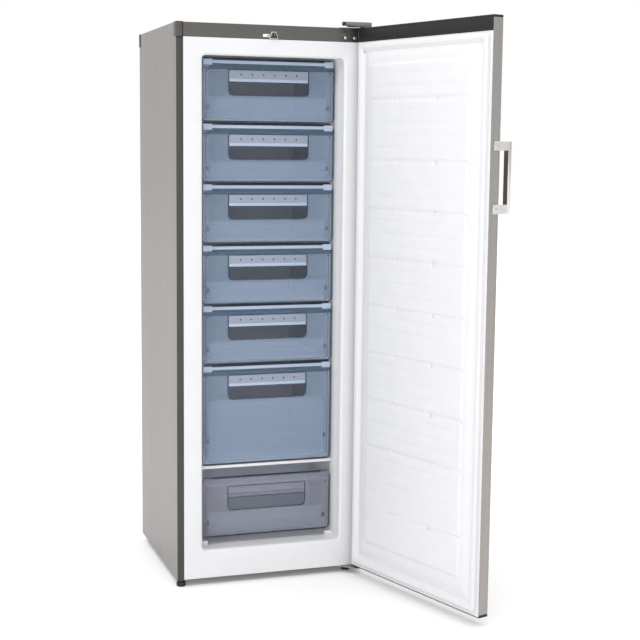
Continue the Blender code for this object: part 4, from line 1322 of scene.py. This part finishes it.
@dataclass
class Drawer(Assembly):
    """One drawer: a tinted front and the bin behind it.

    Attributes:
        number: Its number from the top.
        clear: The finish of its front's plate.
        rail: The finish of its top lip.
        band: The finish of the band below the lip; on the upper drawers its dark colour is painted shade of
            the inside.
        frost: The finish of its handle plate.
        skin: The plate's thickness.
        window_half: Half the hand window's width.
        window_top: From the front's top down to the window.
        slot_top: From the front's top down to the hand slot.
        slot_bottom: From the front's top down to the slot's lower edge.
        lip: Height of the top lip.
        lip_drop: How far the lip stays below its two end tabs.
        lip_reach: How far the lip's ends reach past the front's box.
        crest: How far the near-black rim behind the lip, a painted shadow in the gap above the drawer, stands
            above that box.
        spread: How far the plate's side edges reach past that box.
        tab_from: Where the lip's end tabs start, from the middle.
        clip: Where the clips that hold the bin start and end, from the middle.
        dots: How many bosses the handle plate has.
        dot_pitch: Distance between them.
        hazy_from: The front's height from which it has a hazy field.
    """

    number: int
    clear: Finish = FRONT_CLEAR
    rail: Finish = FRONT_LIP
    band: Finish = FRONT_SHADE_BAND
    frost: Finish = FRONT_FROST
    skin: float = 0.0030
    window_half: float = 0.125
    window_top: float = 0.031
    slot_top: float = 0.066
    slot_bottom: float = 0.105
    lip: float = 0.013
    lip_drop: float = 0.0028
    lip_reach: float = 0.0050
    crest: float = 0.0
    spread: float = 0.0080
    tab_from: float = 0.1770
    clip: Pair = (0.1845, 0.1940)
    dots: int = 6
    dot_pitch: float = 0.035
    hazy_from: float = 0.15
    low: float = field(init=False)
    high: float = field(init=False)
    half: float = field(init=False)
    near: float = field(init=False)
    far: float = field(init=False)

    def __post_init__(self) -> None:
        """Reads the front's box."""
        low, high = self.shop.layout.box(f"drawer_{self.number}_front")
        self.near, self.low = low[1], low[2]
        self.half, self.far, self.high = high

    def window(self, grow: float) -> list[Pair]:
        """The window's outline, grown by a distance."""
        low, high = self.high - self.slot_bottom - grow, self.high - self.window_top + grow
        return rounded(self.window_half + grow, low, high, 0.003 + grow, foot_radius=0.014 + grow, steps=8)

    def outline(self, inset: float) -> list[Pair]:
        """The front's outline, pulled in by a distance."""
        return rounded(self.half + self.spread - inset, self.low + inset, self.high - 0.0030 - inset,
                       0.012 - min(inset, 0.006), steps=8)

    def plate(self, shape: Shape, face: float) -> None:
        """The moulded plate with its turned-back rim; its edges are the dark finish.

        Args:
            shape: The shape that gets it.
            face: The plate's front plane.
        """
        back = face + self.skin
        folds = ((0.0024, face), (0.0007, face + 0.0008), (0.0, face + 0.0028), (0.0, self.far),
                 (0.0022, self.far), (0.0026, back + 0.0010), (0.0036, back))
        rings = [upright(self.window(0.0), face), *[upright(self.outline(inset), y) for inset, y in folds],
                 upright(self.window(0.0), back)]
        shape.skin(rings, [Face.PLATE, *[Face.EDGE] * 6, Face.PLATE, Face.EDGE], closed=True)
        lining = ((0.0002, face - 0.0010), (0.0021, face - 0.0010), (0.0021, back + 0.0008),
                  (0.0002, back + 0.0008))
        shape.skin([upright(self.window(grow), y) for grow, y in lining], Face.EDGE, closed=True)
        reach, near, low = self.half + self.spread, self.near, self.low
        wide = reach - 0.011
        # A near-black strip along the foot: painted shadow of the gap below the drawer.
        shape.block((-wide, near, low), (wide, self.far - 0.0005, low + 0.0021), 0.0007, Face.SHADOW_AND_BOSS)
        for end, wide in ((reach - 0.0002, 0.0013), (reach - 0.0110, 0.0010)):
            shape.pair((end - wide, near + 0.0002, low + 0.012), (end, face + 0.0010, self.high - 0.013),
                       0.0004, Face.EDGE)

    def rail_and_band(self, shape: Shape, face: float) -> None:
        """The lip with its end tabs, a near-black rim behind it that is painted shadow and, below it, the
        band, whose dark colour on the upper drawers is painted shade of the inside.

        Args:
            shape: The shape that gets them.
            face: The plate's front plane.
        """
        high, half, near, far = self.high, self.half + self.lip_reach, self.near, self.far
        foot, top = high - self.lip, high - self.lip_drop
        wide = half - 0.0002
        shape.block((-wide, near - 0.0006, foot), (wide, far + 0.0004, top), 0.0022, Face.RAIL, 3)
        wide = half - 0.003
        # A near-black rim behind the lip: painted shadow in the gap above the drawer.
        shape.block((-wide, far - 0.0016, top - 0.002), (wide, far, high + self.crest), 0.0005, Face.SHADOW_AND_BOSS)
        shape.pair((self.tab_from, near - 0.0014, high - 0.0180), (half - 0.0004, near + 0.0090, high),
                   0.0014, Face.RAIL)
        boss = [(0.0019, 0.0010), (0.0019, -0.0004), (0.0012, -0.0008)]
        for side in (-1, 1):
            for across, drop in ((0.1895, 0.030), (0.1945, 0.036)):
                shape.turned(boss, (side * across, face, high - drop), 1, 12, finish=Face.SHADOW_AND_BOSS)
        back, hook = face + self.skin, self.low + (high - self.low) * 0.24
        shape.pair((self.clip[0], back, hook - 0.007), (self.clip[1], back + 0.0085, hook + 0.007), 0.001,
                   Face.EDGE)
        wide, low = self.half + self.spread - 0.003, high - self.window_top + 0.0005
        # On the upper drawers this sheet's dark colour is painted shade of the inside seen through the band.
        shape.block((-wide, near + 0.0003, low), (wide, near + 0.0012, foot), 0.0004, Face.BAND)

    def handle_plate(self, shape: Shape) -> None:
        """The frosted plate over the hand slot, with its bosses, and the ledge at its foot.

        Args:
            shape: The shape that gets them.
        """
        edge, near, high = self.window_half - 0.0006, self.near, self.high
        slot, top = high - self.slot_top, high - self.window_top - 0.0004
        ledge = slot + 0.0110
        shape.block((-edge, near + 0.0002, ledge), (edge, near + 0.0026, top), 0.0008, Face.FROST)
        shape.block((-edge, near - 0.0002, slot), (edge, near + 0.0150, ledge - 0.0002), 0.0020, Face.RAIL)
        shape.block((-edge, near + 0.0004, slot - 0.0016), (edge, near + 0.0120, slot - 0.0002), 0.0005,
                    Face.EDGE)
        boss = [(0.0027, 0.0003), (0.0025, -0.0004), (0.0015, -0.0009), (0.0004, -0.0011)]
        for dot in range(self.dots):
            x = (dot - (self.dots - 1) / 2) * self.dot_pitch
            shape.turned(boss, (x, near + 0.0004, high - 0.0445), 1, 16, finish=Face.SHADOW_AND_BOSS)

    def front(self) -> None:
        """The whole front; a tall one has a hazy field low down."""
        face, node = self.near + 0.0008, f"drawer_{self.number}_front"
        shape = Shape()
        self.plate(shape, face)
        self.rail_and_band(shape, face)
        self.handle_plate(shape)
        if self.high - self.low > self.hazy_from:
            edge, top, back = self.half - 0.013, self.high - self.slot_bottom - 0.004, face + self.skin
            low = self.low + 0.010
            shape.block((-edge, back + 0.0002, low), (edge, back + 0.0010, top), 0.0004, Face.HAZE)
        finishes = [self.clear, FRONT_EDGE, self.rail, FRONT_HAZE, self.frost, FRONT_SHADOW_AND_BOSS, self.band]
        self.shop.add(node, shape, finishes, "drawer_front")

    def bin(self) -> None:
        """The bin: tapered walls, a rolled rim, and a front wall cut down behind the hand slot."""
        node = f"drawer_{self.number}_bin"
        (_, y0, z0), (x1, y1, z1) = self.shop.box(node)
        wall, lip, taper, corner, turn_in = 0.0022, 0.006, 0.006, 0.010, 0.0015
        notch, cut = y0 + 0.014, self.high - 0.118
        half, near, far = x1 - lip, y0 + 0.002, y1 - lip

        def ring(grow: float, z: float, lips: float = 0.0) -> Ring:
            """One ring round the bin; points in front of the notch stay low and without a lip.

            Args:
                grow: How far it is grown outwards.
                z: Its height.
                lips: How far the rolled rim reaches out.

            Returns:
                The ring.
            """
            side, back, front = half + grow, far + grow, near - grow * 0.4
            plan = [*arc((side - corner, back - corner), corner, 0, 90, 6),
                    *arc((corner - side, back - corner), corner, 90, 180, 6),
                    (-side, notch + 0.010), (-side, notch),
                    *arc((corner - side, front + corner), corner, 180, 270, 6),
                    *arc((side - corner, front + corner), corner, 270, 360, 6),
                    (side, notch), (side, notch + 0.010)]
            points = []
            for x, y in plan:
                behind = y > notch + 0.005
                height = z if behind or z < (z0 + z1) / 2 else min(z, cut + (z - z1))
                if behind and lips:
                    x += math.copysign(lips, x) * min(1.0, (y - notch) / 0.010)
                    y += lips if y > far - 0.012 else 0.0
                points.append((x, y, height))
            return points

        inside = taper + wall
        rings = [
            ring(-taper - turn_in, z0),
            ring(-taper, z0 + 0.0020),
            ring(0.0, z1 - wall),
            ring(0.0, z1 - wall, lip - 0.0006),
            ring(0.0, z1 - wall * 0.5, lip),
            ring(0.0, z1, lip - 0.0008),
            ring(-wall * 0.5, z1),
            ring(-wall, z1 - wall),
            ring(-inside, z0 + wall + 0.0020),
            ring(-inside - turn_in, z0 + wall),
        ]
        self.shop.add(node, Shape().skin(rings), [BIN_CLEAR], "drawer_bin")

    def build(self) -> None:
        """Makes the drawer on its own body."""
        self.shop.body = f"drawer_{self.number}"
        self.front()
        self.bin()
        self.shop.body = "cabinet"


# ---------------------------------------------------------------- door

@dataclass
class Door(Assembly):
    """The door, drawn closed: steel skin, caps, formed liner, seal and corner plugs.

    Attributes:
        bend: Outer radius of the skin's two bends.
        sheet: Thickness of the skin.
        band: Height of the top cap's inner band.
        toe: Height of the bottom cap where the liner comes down over it.
        low_rise: Height of the liner's first step.
        high_rise: Height of its second step.
        low_field: The first step's edges: from the door's sides, its top and its foot.
        high_field: The second step's edges.
        rows: Heights of the rows of grooves.
        groove: Height of one groove.
        groove_depth: Depth of one groove.
        valley_pitch: Distance between the soft valleys below a row.
        valley_half: Half the width of a valley.
        valley_depth: Depth of a valley.
        valley_ends: Where the valleys start and stop, from the hinge edge.
        groove_ends: Where the grooves start and stop.
        sheet_thick: Thickness of the formed liner.
        dimple_radius: Radius of the dimple at a groove's free end.
        dimple_depth: Its depth.
        pits: Where a groove has a pit across it.
        pit_depth: The pits' depth.
        seal_inset: From the door's edge to the seal.
        seal_width: The seal's width.
        seal_stand: How far the seal stands up.
        plugs: The corner plugs: distance from the hinge edge, and height.
    """

    bend: float = 0.0030
    sheet: float = 0.0010
    band: float = 0.042
    toe: float = 0.0030
    low_rise: float = 0.0084
    high_rise: float = 0.0050
    low_field: Point = (0.0395, 1.634, 0.070)
    high_field: Point = (0.077, 1.592, 0.124)
    rows: tuple[float, ...] = (1.490, 1.310, 1.165, 1.019, 0.874, 0.730, 0.585, 0.440, 0.250)
    groove: float = 0.016
    groove_depth: float = 0.0017
    valley_pitch: float = 0.0375
    valley_half: float = 0.0065
    valley_depth: float = 0.0009
    valley_ends: Pair = (0.108, 0.482)
    groove_ends: Pair = (0.080, 0.5215)
    sheet_thick: float = 0.0012
    dimple_radius: float = 0.0065
    dimple_depth: float = 0.0034
    pits: Pair = (0.2145, 0.3820)
    pit_depth: float = 0.0038
    seal_inset: float = 0.0125
    seal_width: float = 0.026
    seal_stand: float = 0.0105
    plugs: tuple[Pair, ...] = ((0.035, 1.628), (0.571, 1.629), (0.031, 0.056), (0.572, 0.050))
    half: float = field(init=False)
    inner: float = field(init=False)
    outer: float = field(init=False)
    low: float = field(init=False)
    high: float = field(init=False)

    def __post_init__(self) -> None:
        """Reads the door's size from its caps."""
        low, high = self.shop.layout.box("door_bottom_cap", True)
        self.half = (high[0] - low[0]) / 2
        self.outer, self.inner = low[1], high[1]
        self.low = low[2]
        self.high = self.shop.layout.box("door_top_cap", True)[1][2]

    def skin(self) -> None:
        """The folded steel front."""
        (_, _, low), (_, _, high) = self.shop.box("door_panel")
        bend, thick, half = self.bend, self.sheet, self.half
        lip, centre = self.inner - GAP, (half - bend, self.outer + bend)
        outside = [(half, lip), *arc(centre, bend, 0, -90, 6)]
        outside += [(-x, y) for x, y in reversed(outside)]
        inside = [(half - thick, lip), *arc(centre, bend - thick, 0, -90, 4)]
        inside += [(-x, y) for x, y in reversed(inside)]
        shape = Shape().prism(outside + inside[::-1], low, high)
        self.shop.add("door_panel", shape, [DOOR_STEEL], "door_steel")

    def caps(self) -> None:
        """The moulded ends: a top cap with its band on the inner face, and a bottom cap."""
        (_, y0, z0), (_, y1, z1) = self.shop.box("door_bottom_cap")
        half, edge = self.half, 0.0008

        def slice_of(low: float, high: float, inner: float) -> Shape:
            """A cap's plate between two heights, reaching to one depth."""
            levels = ((edge, low), (0.0, low + edge), (0.0, high - edge), (0.0003, high - 0.0003),
                      (edge, high))
            return Shape().skin(layers((-half, y0, low), (half, inner, high), 0.0030, levels))

        foot = slice_of(z0, z1, y1 - 0.0045)
        wide = half - 0.0006
        foot.block((-wide, y1 - 0.0120, z0), (wide, y1 - 0.0002, z0 + self.toe), 0.0010)
        self.shop.add("door_bottom_cap", foot, [BLACK_PP], "black_plastic")
        shape = slice_of(self.high - 0.0066, self.high, y1)
        wide, low, inner = half - self.sheet - GAP, self.high - self.band, self.inner
        shape.block((-wide, inner - 0.0040, low), (wide, inner - 0.0001, self.high - 0.0060), 0.0012)
        wide -= 0.02
        shape.block((-wide, inner - 0.0003, low + 0.010), (wide, inner + 0.0006, low + 0.0118), 0.0003, 0, 1)
        self.shop.add("door_top_cap", shape, [CAP_ABS], "dark_trim")

    def valleys(self) -> list[float]:
        """The heights of the soft valleys: even ones from each row down to the next."""
        pitch = self.valley_pitch
        spans = zip((1.594, *self.rows), (*self.rows, 0.133))
        return [float(height) for above, below in spans
                for height in np.arange(above - pitch, below + 0.020, -pitch)]

    def relief(self, reach: np.ndarray, up: np.ndarray) -> np.ndarray:
        """How far the liner stands up.

        Args:
            reach: Distances from the hinge edge.
            up: Heights.

        Returns:
            The liner's height at each place.
        """
        width = 2 * self.half

        def step(field_edges: Point, side_ramp: float, top_ramp: float, foot_ramp: float) -> np.ndarray:
            """A raised field with round corners."""
            edge, top, foot = field_edges
            off_side = np.maximum(1 - (reach - edge) / side_ramp, 1 - (width - edge - reach) / side_ramp)
            off_end = np.maximum(1 - (top - up) / top_ramp, 1 - (up - foot) / foot_ramp)
            return smooth(1 - np.hypot(np.clip(off_side, 0, 1), np.clip(off_end, 0, 1)))

        def between(ends: Pair, ramp: float) -> np.ndarray:
            """1 between two distances from the hinge edge, with soft ends."""
            return smooth((reach - ends[0]) / ramp) * smooth((ends[1] - reach) / ramp)

        height = self.low_rise * step(self.low_field, 0.028, 0.028, 0.034)
        height += self.high_rise * step(self.high_field, 0.0090, 0.010, 0.010)
        inside, along = between(self.valley_ends, 0.006), between(self.groove_ends, 0.0035)
        for valley in self.valleys():
            away = np.clip(np.abs(up - valley) / self.valley_half, 0.0, 1.0)
            height -= self.valley_depth * inside * (0.5 + 0.5 * np.cos(math.pi * away))
        for row in self.rows:
            dimple = np.hypot(reach - self.groove_ends[1] + 0.0085, up - row + 0.0060) / self.dimple_radius
            height -= self.dimple_depth * smooth(1.5 * (1.0 - dimple))
            tall = smooth((row - up) / 0.0030) * smooth((up - row + self.groove) / 0.0045)
            height -= self.groove_depth * tall * along
            for pit in self.pits:
                height -= self.pit_depth * tall * smooth(1.6 - np.abs(reach - pit) / 0.0018)
        return np.maximum(height, 0.0)

    def liner(self) -> None:
        """The formed liner, as a sheet over a grid that is finest where its shape bends."""
        low, high = self.shop.box("door_liner")
        width = 2 * self.half

        def lines(start: float, stop: float, pitch: float, marks: Sequence[float]) -> np.ndarray:
            """Grid lines between two ends: even ones, and one at each mark."""
            even = np.linspace(start, stop, max(2, round((stop - start) / pitch)) + 1)
            kept = [start]
            for value in sorted([*even, *marks]):
                if value - kept[-1] > 0.0006 and stop - value > 0.0003:
                    kept.append(value)
            return np.array([*kept, stop])

        def beside(places: Sequence[float], offsets: Sequence[float]) -> list[float]:
            """Marks at offsets from each place."""
            return [place + offset for place in places for offset in offsets]

        near, half = (-0.0010, 0.0010, 0.0030, 0.0050), self.valley_half
        (low_edge, low_top, low_foot), (high_edge, high_top, high_foot) = self.low_field, self.high_field
        slopes = [*np.linspace(low_edge, low_edge + 0.028, 6), *np.linspace(high_edge, high_edge + 0.009, 5)]
        (groove_start, groove_stop), (valley_start, valley_stop) = self.groove_ends, self.valley_ends
        ends = [groove_start, groove_stop - 0.0150, groove_stop - 0.0100, groove_stop - 0.0035, valley_start,
                valley_stop - 0.0045]
        rims = [value for row in self.rows for value in (row - 0.0045, row - self.groove - 0.001)]
        across = lines(self.half - high[0], self.half - low[0], 0.018,
                       [*slopes, *[width - value for value in slopes], *beside(ends, near),
                        *beside(self.pits, (-0.0030, -0.0014, 0.0, 0.0014, 0.0030))])
        steps = [*np.linspace(low_foot, low_foot + 0.034, 6), *np.linspace(high_foot, high_foot + 0.010, 5),
                 *np.linspace(high_top - 0.010, high_top, 5), *np.linspace(low_top - 0.028, low_top, 6)]
        bumps = beside(self.valleys(), (-half, -half / 2, 0.0, half / 2, half))
        up = lines(self.low + self.toe + GAP, high[2], 0.020, [*steps, *beside(rims, near), *bumps])
        reach, tall = np.meshgrid(across, up)
        lift = self.relief(reach, tall)
        x, y = self.half - reach, self.inner + lift
        shape = Shape().slab(np.dstack((x, y, tall)), np.dstack((x, y - self.sheet_thick, tall)))
        self.shop.add("door_liner", shape, [LINER_HIPS], "white_liner", 60.0)

    def seal(self) -> None:
        """The seal: bellows, the flat face over its magnet, and a wing down to the liner."""
        (_, _, foot), (_, _, head) = self.shop.box("door_gasket")
        width, stand = self.seal_width, self.seal_stand
        half = self.half - self.seal_inset
        bellows = ((0.0, 0.03), (0.0, 0.22), (0.06, 0.30), (0.10, 0.42), (0.03, 0.52), (0.02, 0.66),
                   (0.10, 0.90))
        magnet = ((0.20, 1.0), (0.34, 1.0), (0.36, 0.97), (0.40, 0.97), (0.42, 1.0), (0.52, 0.96))
        wing = ((0.70, 0.62), (0.86, 0.32), (0.97, 0.14), (1.0, 0.08), (1.0, 0.03))
        rings = []
        for across, rise in bellows + magnet + wing:
            off = across * width
            outline = rounded(half - off, foot + off, head - off, max(0.004, 0.012 - off), steps=5)
            rings.append(upright(outline, self.inner + rise * stand))
        shape = Shape().skin(rings, closed=True)
        self.shop.add("door_gasket", shape, [SEAL_PVC], "gasket")

    def corner_plugs(self) -> None:
        """Four small round plugs at the corners of the inner face."""
        shape = Shape()
        steps = ((0.0046, 0.05), (0.0046, 0.42), (0.0040, 0.46), (0.0022, 0.46), (0.0018, 0.38),
                 (0.0006, 0.36))
        profile = [(radius, self.seal_stand * share) for radius, share in steps]
        for reach, height in self.plugs:
            shape.turned(profile, (self.half - reach, self.inner, height), 1, 24)
        self.shop.add("door_corner_plugs", shape, [BEZEL_ABS], "white_liner")

    def foam(self) -> None:
        """The foam that fills the door, in two steps that stay clear of the liner's grooves."""
        low, high = self.shop.box("door_foam")
        face = self.inner - 0.0025
        shape = Shape().block(low, (high[0], face, high[2]), 0.003)
        for inset, foot, top, rise in ((0.070, 0.112, 1.600, 0.0045), (0.089, 0.138, 1.578, 0.0052)):
            wide = self.half - inset
            shape.block((-wide, face - 0.003, foot), (wide, self.inner + rise, top), 0.004)
        self.shop.add("door_foam", shape, [FOAM], "foam")

    def build(self) -> None:
        """Makes the door's pieces."""
        self.skin()
        self.caps()
        self.liner()
        self.seal()
        self.corner_plugs()
        self.foam()


@dataclass
class Handle(Assembly):
    """The bar handle on two plates that are screwed to the door's free edge.

    Attributes:
        radius: Radius of the bar's long edges.
        plate: Thickness of the plates.
        foot_back: Where the plates' feet end behind the bar, from the cabinet's flange.
    """

    radius: float = 0.0025
    plate: float = 0.0030
    foot_back: float = -0.0545

    def bar(self) -> None:
        """The bar: bright outside, with the dull side towards the door."""
        low, high = self.shop.box("handle_bar")
        ends = ((0.0010, 0.0), (0.0003, 0.0003), (0.0, 0.0010))
        levels = [(inset, low[2] + rise) for inset, rise in ends]
        levels += [(inset, high[2] - rise) for inset, rise in reversed(ends)]
        shape = Shape().skin(layers(low, high, self.radius, levels, 5))
        inner = high[1] - 0.0008
        shape.finishes = [int(all(shape.points[p][1] > inner for p in face)) for face in shape.faces]
        self.shop.add("handle_bar", shape, [HANDLE_ALU, HANDLE_BACK], "handle")

    def post(self, node: str) -> None:
        """One plate with a foot behind the bar, and its countersunk screw.

        Args:
            node: The node that it stands for.
        """
        (x0, y0, z0), (x1, y1, z1) = self.shop.box(node)
        bend, root, inner, foot = 0.0012, 0.0020, x0 + self.plate, self.foot_back
        outline = [*arc((x0 + bend, y1 - bend), bend, 180, 90, 3), (inner, y1), (inner, foot + 2 * root),
                   *arc((inner + root, foot + root), root, 180, 270, 3)[1:], (x1, foot), (x1, y0), (x0, y0)]
        rings = []
        for inset, z in ((0.0006, z0), (0.0, z0 + 0.0006), (0.0, z1 - 0.0006), (0.0006, z1)):
            rings.append([(x + (inset if x < x0 + 0.001 else 0.0), y, z) for x, y in outline])
        shape = Shape().skin(rings)
        screw_head(shape, (x0, y1 - 0.0105, (z0 + z1) / 2), 0.0036, 0.0009, axis=0, finish=1)
        self.shop.add(node, shape, [HANDLE_ALU, NICKEL], "handle")

    def build(self) -> None:
        """Makes the bar and both plates."""
        self.bar()
        for node in ("handle_post_lower", "handle_post_upper"):
            self.post(node)


# ---------------------------------------------------------------- studio

@dataclass
class Studio:
    """Pale floor, soft light and the camera.

    Attributes:
        layout: Where the freezer stands.
        camera_place: The camera, from the middle of the cabinet's front at the floor.
        turn: Its turn to the right, in degrees.
        dip: How far it looks down, in degrees.
        roll: Its roll, in degrees.
        lens: Its focal length in millimetres on a 36 mm sensor.
        front_glow: Strength of the surround in front of the freezer; it is 1 behind.
        top_glow: How much stronger it is overhead.
    """

    layout: Layout
    camera_place: Point = (-1.1809, -3.9549, 1.3447)
    turn: float = 18.61
    dip: float = 7.277
    roll: float = 0.607
    lens: float = 76.59
    front_glow: float = 0.60
    top_glow: float = 1.0

    def camera(self) -> None:
        """Sets the camera up."""
        yaw, pitch, roll = (math.radians(value) for value in (self.turn, self.dip, self.roll))
        ahead = Vector((math.sin(yaw) * math.cos(pitch), math.cos(yaw) * math.cos(pitch), -math.sin(pitch)))
        right = Vector((math.cos(yaw), -math.sin(yaw), 0.0))
        up = right.cross(ahead)
        side = math.cos(roll) * right + math.sin(roll) * up
        rise = -math.sin(roll) * right + math.cos(roll) * up
        data = bpy.data.cameras.new("camera")
        data.lens = self.lens
        data.sensor_width = 36.0
        made = bpy.data.objects.new("camera", data)
        place = self.layout.cabinet() @ Vector(self.camera_place)
        made.matrix_world = Matrix.Translation(place) @ Matrix((side, rise, -ahead)).transposed().to_4x4()
        bpy.context.scene.collection.objects.link(made)
        bpy.context.scene.camera = made

    def lamp(self, name: str, place: Point, aim: Point, size: float, power: float) -> None:
        """A square soft light.

        Args:
            name: Its name.
            place: Where it hangs.
            aim: What it points at.
            size: Its side.
            power: Its power in watts.
        """
        data = bpy.data.lights.new(name, "AREA")
        data.size = size
        data.energy = power
        made = bpy.data.objects.new(name, data)
        made.location = place
        made.rotation_mode = "QUATERNION"
        made.rotation_quaternion = (Vector(aim) - Vector(place)).to_track_quat("-Z", "Y")
        bpy.context.scene.collection.objects.link(made)

    def world(self) -> None:
        """A white surround, seen plain, that lights less from the front, where the lamps take over."""
        world = bpy.data.worlds.new("white_surround")
        world.use_nodes = True
        tree = world.node_tree
        place = add_node(tree, "ShaderNodeTexCoord").outputs["Generated"]
        parts = add_node(tree, "ShaderNodeSeparateXYZ", links={"Vector": place})
        level = add_node(tree, "ShaderNodeMapRange",
                         {"From Min": 0.0, "From Max": 0.6, "To Min": self.front_glow, "To Max": 1.0},
                         {"Value": parts.outputs["Y"]})
        above = add_node(tree, "ShaderNodeMapRange",
                         {"From Min": 0.45, "From Max": 0.85, "To Min": 0.0, "To Max": self.top_glow},
                         {"Value": parts.outputs["Z"]})
        strength = add_node(tree, "ShaderNodeMath", {"operation": "ADD"},
                            {0: level.outputs["Result"], 1: above.outputs["Result"]})
        ray = add_node(tree, "ShaderNodeLightPath")
        shown = add_node(tree, "ShaderNodeMix", {3: 1.0},
                         {0: ray.outputs["Is Camera Ray"], 2: strength.outputs["Value"]})
        tree.nodes["Background"].inputs["Color"].default_value = (1.0, 1.0, 1.0, 1.0)
        tree.links.new(shown.outputs[0], tree.nodes["Background"].inputs["Strength"])
        bpy.context.scene.world = world

    def floor(self) -> None:
        """A wide white floor that glows a little, so that it meets the surround without an edge."""
        reach = 30.0
        corners = [(-reach, -reach, 0), (reach, -reach, 0), (reach, reach, 0), (-reach, reach, 0)]
        data = bpy.data.meshes.new("floor")
        data.from_pydata(corners, [], [(0, 1, 2, 3)])
        material = bpy.data.materials.new("white_paper_floor")
        material.use_nodes = True
        shader = material.node_tree.nodes["Principled BSDF"]
        shader.inputs["Base Color"].default_value = linear("#F4F4F4")
        shader.inputs["Roughness"].default_value = 0.9
        shader.inputs["Emission Color"].default_value = (1.0, 1.0, 1.0, 1.0)
        shader.inputs["Emission Strength"].default_value = 0.06
        data.materials.append(material)
        made = bpy.data.objects.new("floor", data)
        bpy.context.scene.collection.objects.link(made)

    def build(self) -> None:
        """Sets up camera, surround, floor and lights."""
        self.camera()
        self.world()
        self.floor()
        self.lamp("key", (-2.6, -2.0, 4.8), (0.2, 0.0, 0.9), 1.3, 58.0)
        self.lamp("front", (-1.7, -4.6, 1.4), (0.0, 0.2, 0.8), 1.8, 40.0)
        scene = bpy.context.scene
        scene.view_settings.view_transform = "Standard"
        scene.cycles.transparent_max_bounces = 32


# ---------------------------------------------------------------- assembly


def main() -> None:
    """Builds every sub-assembly, then the studio."""
    logging.basicConfig(level=logging.INFO, format="%(name)s: %(message)s")
    layout = Layout.read()
    shop = Workshop(layout)
    Cabinet(shop).build()
    ControlBand(shop).build()
    Hinges(shop).build()
    Feet(shop).build()
    Machine(shop).build()
    Evaporator(shop).build()
    for number, crest in enumerate((0.0052, 0.0045, 0.0042, 0.0042, 0.0025, 0.0033), 1):
        Drawer(shop, number, crest=crest).build()
    Drawer(shop, 7, LOW_CLEAR, LOW_LIP, LOW_LIP, LOW_LIP, dots=0).build()
    shop.body, shop.on_door = "door", True
    Door(shop).build()
    Handle(shop).build()
    Studio(layout).build()


if __name__ == "__main__":
    main()
